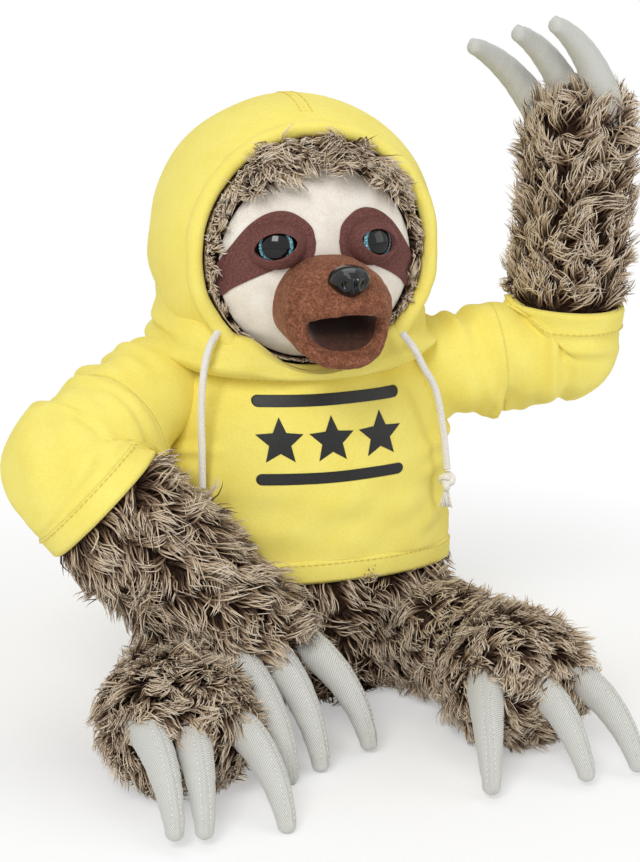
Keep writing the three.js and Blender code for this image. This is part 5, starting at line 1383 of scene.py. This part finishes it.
# one claw in its own frame: half a ball at the root, the tapering arc, and a round tip
share = np.linspace(0, 1, 64)
cap = np.radians(np.linspace(0, 90, 9))[1:]
angle = np.r_[share * CLAW_BEND, CLAW_BEND + CLAW_TIP * np.sin(cap) / CLAW_TURN][:, None]
radius = np.r_[claw_taper(share), CLAW_TIP * np.cos(cap)][:, None]
around = np.linspace(0, 2 * np.pi, CLAW_SIDES, endpoint=False)[None]
from_seam = np.minimum(around, 2 * np.pi - around) * radius
ridge = CLAW_SEAM * np.exp(-((from_seam / 0.75) ** 2)) * np.clip(radius / CLAW_TIP, 0, 1)
groove = -0.25 * np.exp(-(((from_seam - CLAW_STITCHES) / 0.6) ** 2)) * np.clip(radius / CLAW_TIP - 0.3, 0, 1)
body = claw_places(angle + 0 * around, radius + ridge + groove, around + 0 * angle)
ball = np.radians(np.linspace(90, 0, 8))[:-1, None]
reach = CLAW_RADIUS * np.cos(ball)
back = -CLAW_RADIUS * np.sin(ball)
root = np.stack([reach * np.sin(around), reach * np.cos(around), back + 0 * around], -1)
claw_local = np.concatenate([root, body])
puckers = 0.22 * waves(claw_local, [6, 9, 4.5, 13], 61)
beside = np.roll(claw_local, -1, 1) - np.roll(claw_local, 1, 1)
claw_local = claw_local + puckers[..., None] * unit(np.cross(np.gradient(claw_local, axis=0), beside) + 1e-9)
line_share = np.linspace(0.1, 0.985, 200)

paws = {"left_hand": arm_places["left"][2], "right_hand": arm_places["right"][2]}
for side, leg in LEGS.items():
    paws[f"{side}_foot"] = leg_places[side][1] + unit(np.array(leg["foot"])) * FOOT_LENGTH
rng = np.random.default_rng(91)
for place_name, row in CLAW_ROWS.items():
    side, limb_end = place_name.split("_")
    along = unit(np.array(row["along"], float))
    across = np.array(row["row"], float)
    across = unit(across - along * (along @ across))
    middle = paws[place_name] + along * row["seat"]
    if limb_end == "foot":
        middle = middle + [0, 0, FOOT_RAISE]
        along = turned_about(along, across, FOOT_CLAW_TURN)
    behind = unit(np.cross(along, across))
    tufts = []
    for i, fan in enumerate(row["fans"]):
        seat = middle + across * (i - 1) * CLAW_PITCH * row["pitch"]
        own = axes(*(turned_about(way, behind, CLAW_FAN * fan) for way in (along, across)))
        name = f"claw_{place_name}_{i + 1}"
        claw = tube(f"{name}_cloth", claw_local @ own + seat, ribbed)
        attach(claw, name)
        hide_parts(name)
        b = rng.uniform(0, 2 * np.pi, FRINGE_STRANDS_EACH)
        out = np.stack([np.cos(b), np.sin(b), 0 * b], 1)
        back_by = rng.uniform(-9, 1.5, FRINGE_STRANDS_EACH)[:, None]
        starts = out * (CLAW_RADIUS + 0.4) + back_by * [0, 0, 1]
        tufts.append([starts @ own + seat, out @ own, np.tile(own[2], (FRINGE_STRANDS_EACH, 1))])
        for label, sign in (("a", 1), ("b", -1)):
            off = sign * CLAW_STITCHES / claw_taper(line_share)
            line = claw_places(line_share * CLAW_BEND, claw_taper(line_share) + 0.02, off)
            sewn = stitches(f"{name}_stitches_{label}", line @ own + seat, 1.5, 0.24, 2.3, white_thread)
            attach(sewn, name)
    roots, normals, ways = (np.concatenate(part) for part in zip(*tufts))
    fringe = strands(f"claw_fringe_{place_name}", roots, normals, ways, FRINGE_LENGTH, rng, lift=(24, -4),
                     stray=26)
    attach(fringe, f"forearm_{side}" if limb_end == "hand" else f"foot_{side}")

# ---- Chest print ----
# A screen print on the chest: three stars between two bars, in black plastisol ink, which lies on
# the cloth as a thin satin film and shows the knit beneath it.

PRINT_CENTRE = (2, 133)
PRINT_COLUMNS = 240
BAR_HALF_LENGTH = 35
BAR_HALF_HEIGHT = 2.6
BAR_DROP = 17.5
STAR_RADIUS = 11.2
STAR_WAIST = 0.46             # its inner corners over its outer ones
STAR_PITCH = 24
STAR_DROP = 0.6
INK_PROUD = 0.3

plastisol, tree, sockets = finish_of("black_plastisol_ink", Roughness=0.5, Specular_IOR_Level=0.35)
knit = noise(tree, 0.6, 3)
coloured(tree, sockets, knit, [(0.3, 0x131313), (0.62, 0x1f1f1e), (0.8, 0x3a3930)])
raised(tree, sockets, knit, 0.4, 0.15)


def on_chest(u, v, high):
    """Points u sideways and v up from the print's middle, at a height over the sweatshirt: the
    oval of the body at that height gives the depth, and the folds move it."""
    u, v = u + PRINT_CENTRE[0], v + PRINT_CENTRE[1]
    profile = torso_profile(CLOTH_OUTSIDE)
    r = np.interp(v, profile[:, 0], profile[:, 1])
    deep = (TORSO_HALF_DEPTH + CLOTH_OUTSIDE) / (TORSO_HALF_WIDTH + CLOTH_OUTSIDE)
    flat = np.stack([u, -deep * np.sqrt(r**2 - u**2), v], -1)
    return folded(flat) + high[..., None] * unit(flat * [deep, 1 / deep, 0])


def outlined(points, count):
    """A closed outline, cut into equal steps along its length."""
    points = np.vstack([points, points[:1]])
    far = np.r_[0, np.cumsum(np.linalg.norm(np.diff(points, axis=0), axis=1))]
    at = np.linspace(0, far[-1], count, endpoint=False)
    return np.stack([np.interp(at, far, points[:, k]) for k in (0, 1)], 1)


corners = np.pi / 2 + np.arange(10) * np.pi / 5
reach = np.where(np.arange(10) % 2, STAR_WAIST, 1)[:, None]
star = STAR_RADIUS * outlined(np.stack([np.cos(corners), np.sin(corners)], 1) * reach, PRINT_COLUMNS)
b = np.radians(np.r_[np.linspace(-90, 90, 12), np.linspace(90, 270, 12)])
ends = np.r_[np.ones(12), -np.ones(12)] * (BAR_HALF_LENGTH - BAR_HALF_HEIGHT)
bar = outlined(np.stack([ends + BAR_HALF_HEIGHT * np.cos(b), BAR_HALF_HEIGHT * np.sin(b)], 1), PRINT_COLUMNS)
shapes = {"star_left": star + [STAR_PITCH, -STAR_DROP], "star_middle": star + [0, -STAR_DROP],
          "star_right": star + [-STAR_PITCH, -STAR_DROP], "bar_above": bar + [0, BAR_DROP],
          "bar_below": bar - [0, BAR_DROP]}
# each shape is a film: rings from its middle out to its edge, down into the cloth and back
for label, outline in shapes.items():
    middle = outline.mean(0)
    k = np.r_[np.linspace(0, 0.98, 16), 1, 1.0, 0][:, None, None]
    u, v = np.moveaxis(middle + (outline - middle) * k, -1, 0)
    high = np.r_[np.full(16, INK_PROUD), INK_PROUD - 0.08, -0.4, -0.4][:, None] + 0 * u
    ink = tube(f"print_{label}", on_chest(u, v, high), plastisol)
    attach(ink, "torso")

# ---- Inside the toy ----
# What holds the toy up: a base panel, a bag of pellets behind the legs, a soft steel wire across
# the shoulders and down each arm, and the press-on washers of the eyes and nose.

# calico: unbleached plain-woven cotton, with its yarns 0.6 mm apart
calico, tree, sockets = finish_of("unbleached_cotton_calico", Roughness=0.95, Sheen_Weight=0.2,
                                  Specular_IOR_Level=0.2)
place = node(tree, "SeparateXYZ", {0: node(tree, "TexCoord").outputs["Object"]}).outputs
yarns = []
for across in (place[0], place[1]):
    angle = node(tree, "Math", {0: across, 1: 2 * np.pi / (0.6 * MM)}, operation="MULTIPLY").outputs[0]
    yarns.append(node(tree, "Math", {0: angle}, operation="SINE").outputs[0])
over = node(tree, "Math", {0: yarns[0], 1: yarns[1]}, operation="MULTIPLY").outputs[0]
weave = node(tree, "MapRange", {"Value": over, "From Min": -1.0, "From Max": 1.0}).outputs[0]
coloured(tree, sockets, weave, [(0.1, 0x5b4a3c), (0.9, 0x7a6652)])
raised(tree, sockets, weave, 0.5, 0.2)

# galvanised soft steel wire: dull grey with a faint drawn grain
steel, tree, sockets = finish_of("galvanised_steel_wire", Metallic=1.0, Roughness=0.4)
coords = node(tree, "TexCoord").outputs["Object"]
spangle = node(tree, "TexVoronoi", {"Vector": coords, "Scale": 1 / (1.5 * MM)}).outputs["Color"]
coloured(tree, sockets, spangle, [(0.2, 0x8d9093), (0.8, 0xb4b7b9)])
rough = node(tree, "MapRange", {"Value": spangle, "To Min": 0.32, "To Max": 0.5}).outputs[0]
tree.links.new(rough, sockets["Roughness"])

# natural polypropylene washers: milky, moulded, a little waxy
milky, tree, sockets = finish_of("natural_polypropylene", Roughness=0.42, IOR=1.49, Subsurface_Weight=0.1)
coloured(tree, sockets, noise(tree, 3), [(0.3, 0xdcdcd6), (0.7, 0xeeeeea)])

arm_wires = [f"{part}_wire_{side}" for part in ("upper_arm", "forearm") for side in ("left", "right")]
for finish, names in (
    (calico, ["seat_panel", "pellet_bag"]),
    (steel, ["shoulder_wire", *arm_wires]),
    (milky, ["eye_washer_left", "eye_washer_right", "nose_washer"]),
):
    for name in names:
        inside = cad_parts[name]
        inside.data.materials.clear()
        inside.data.materials.append(finish)
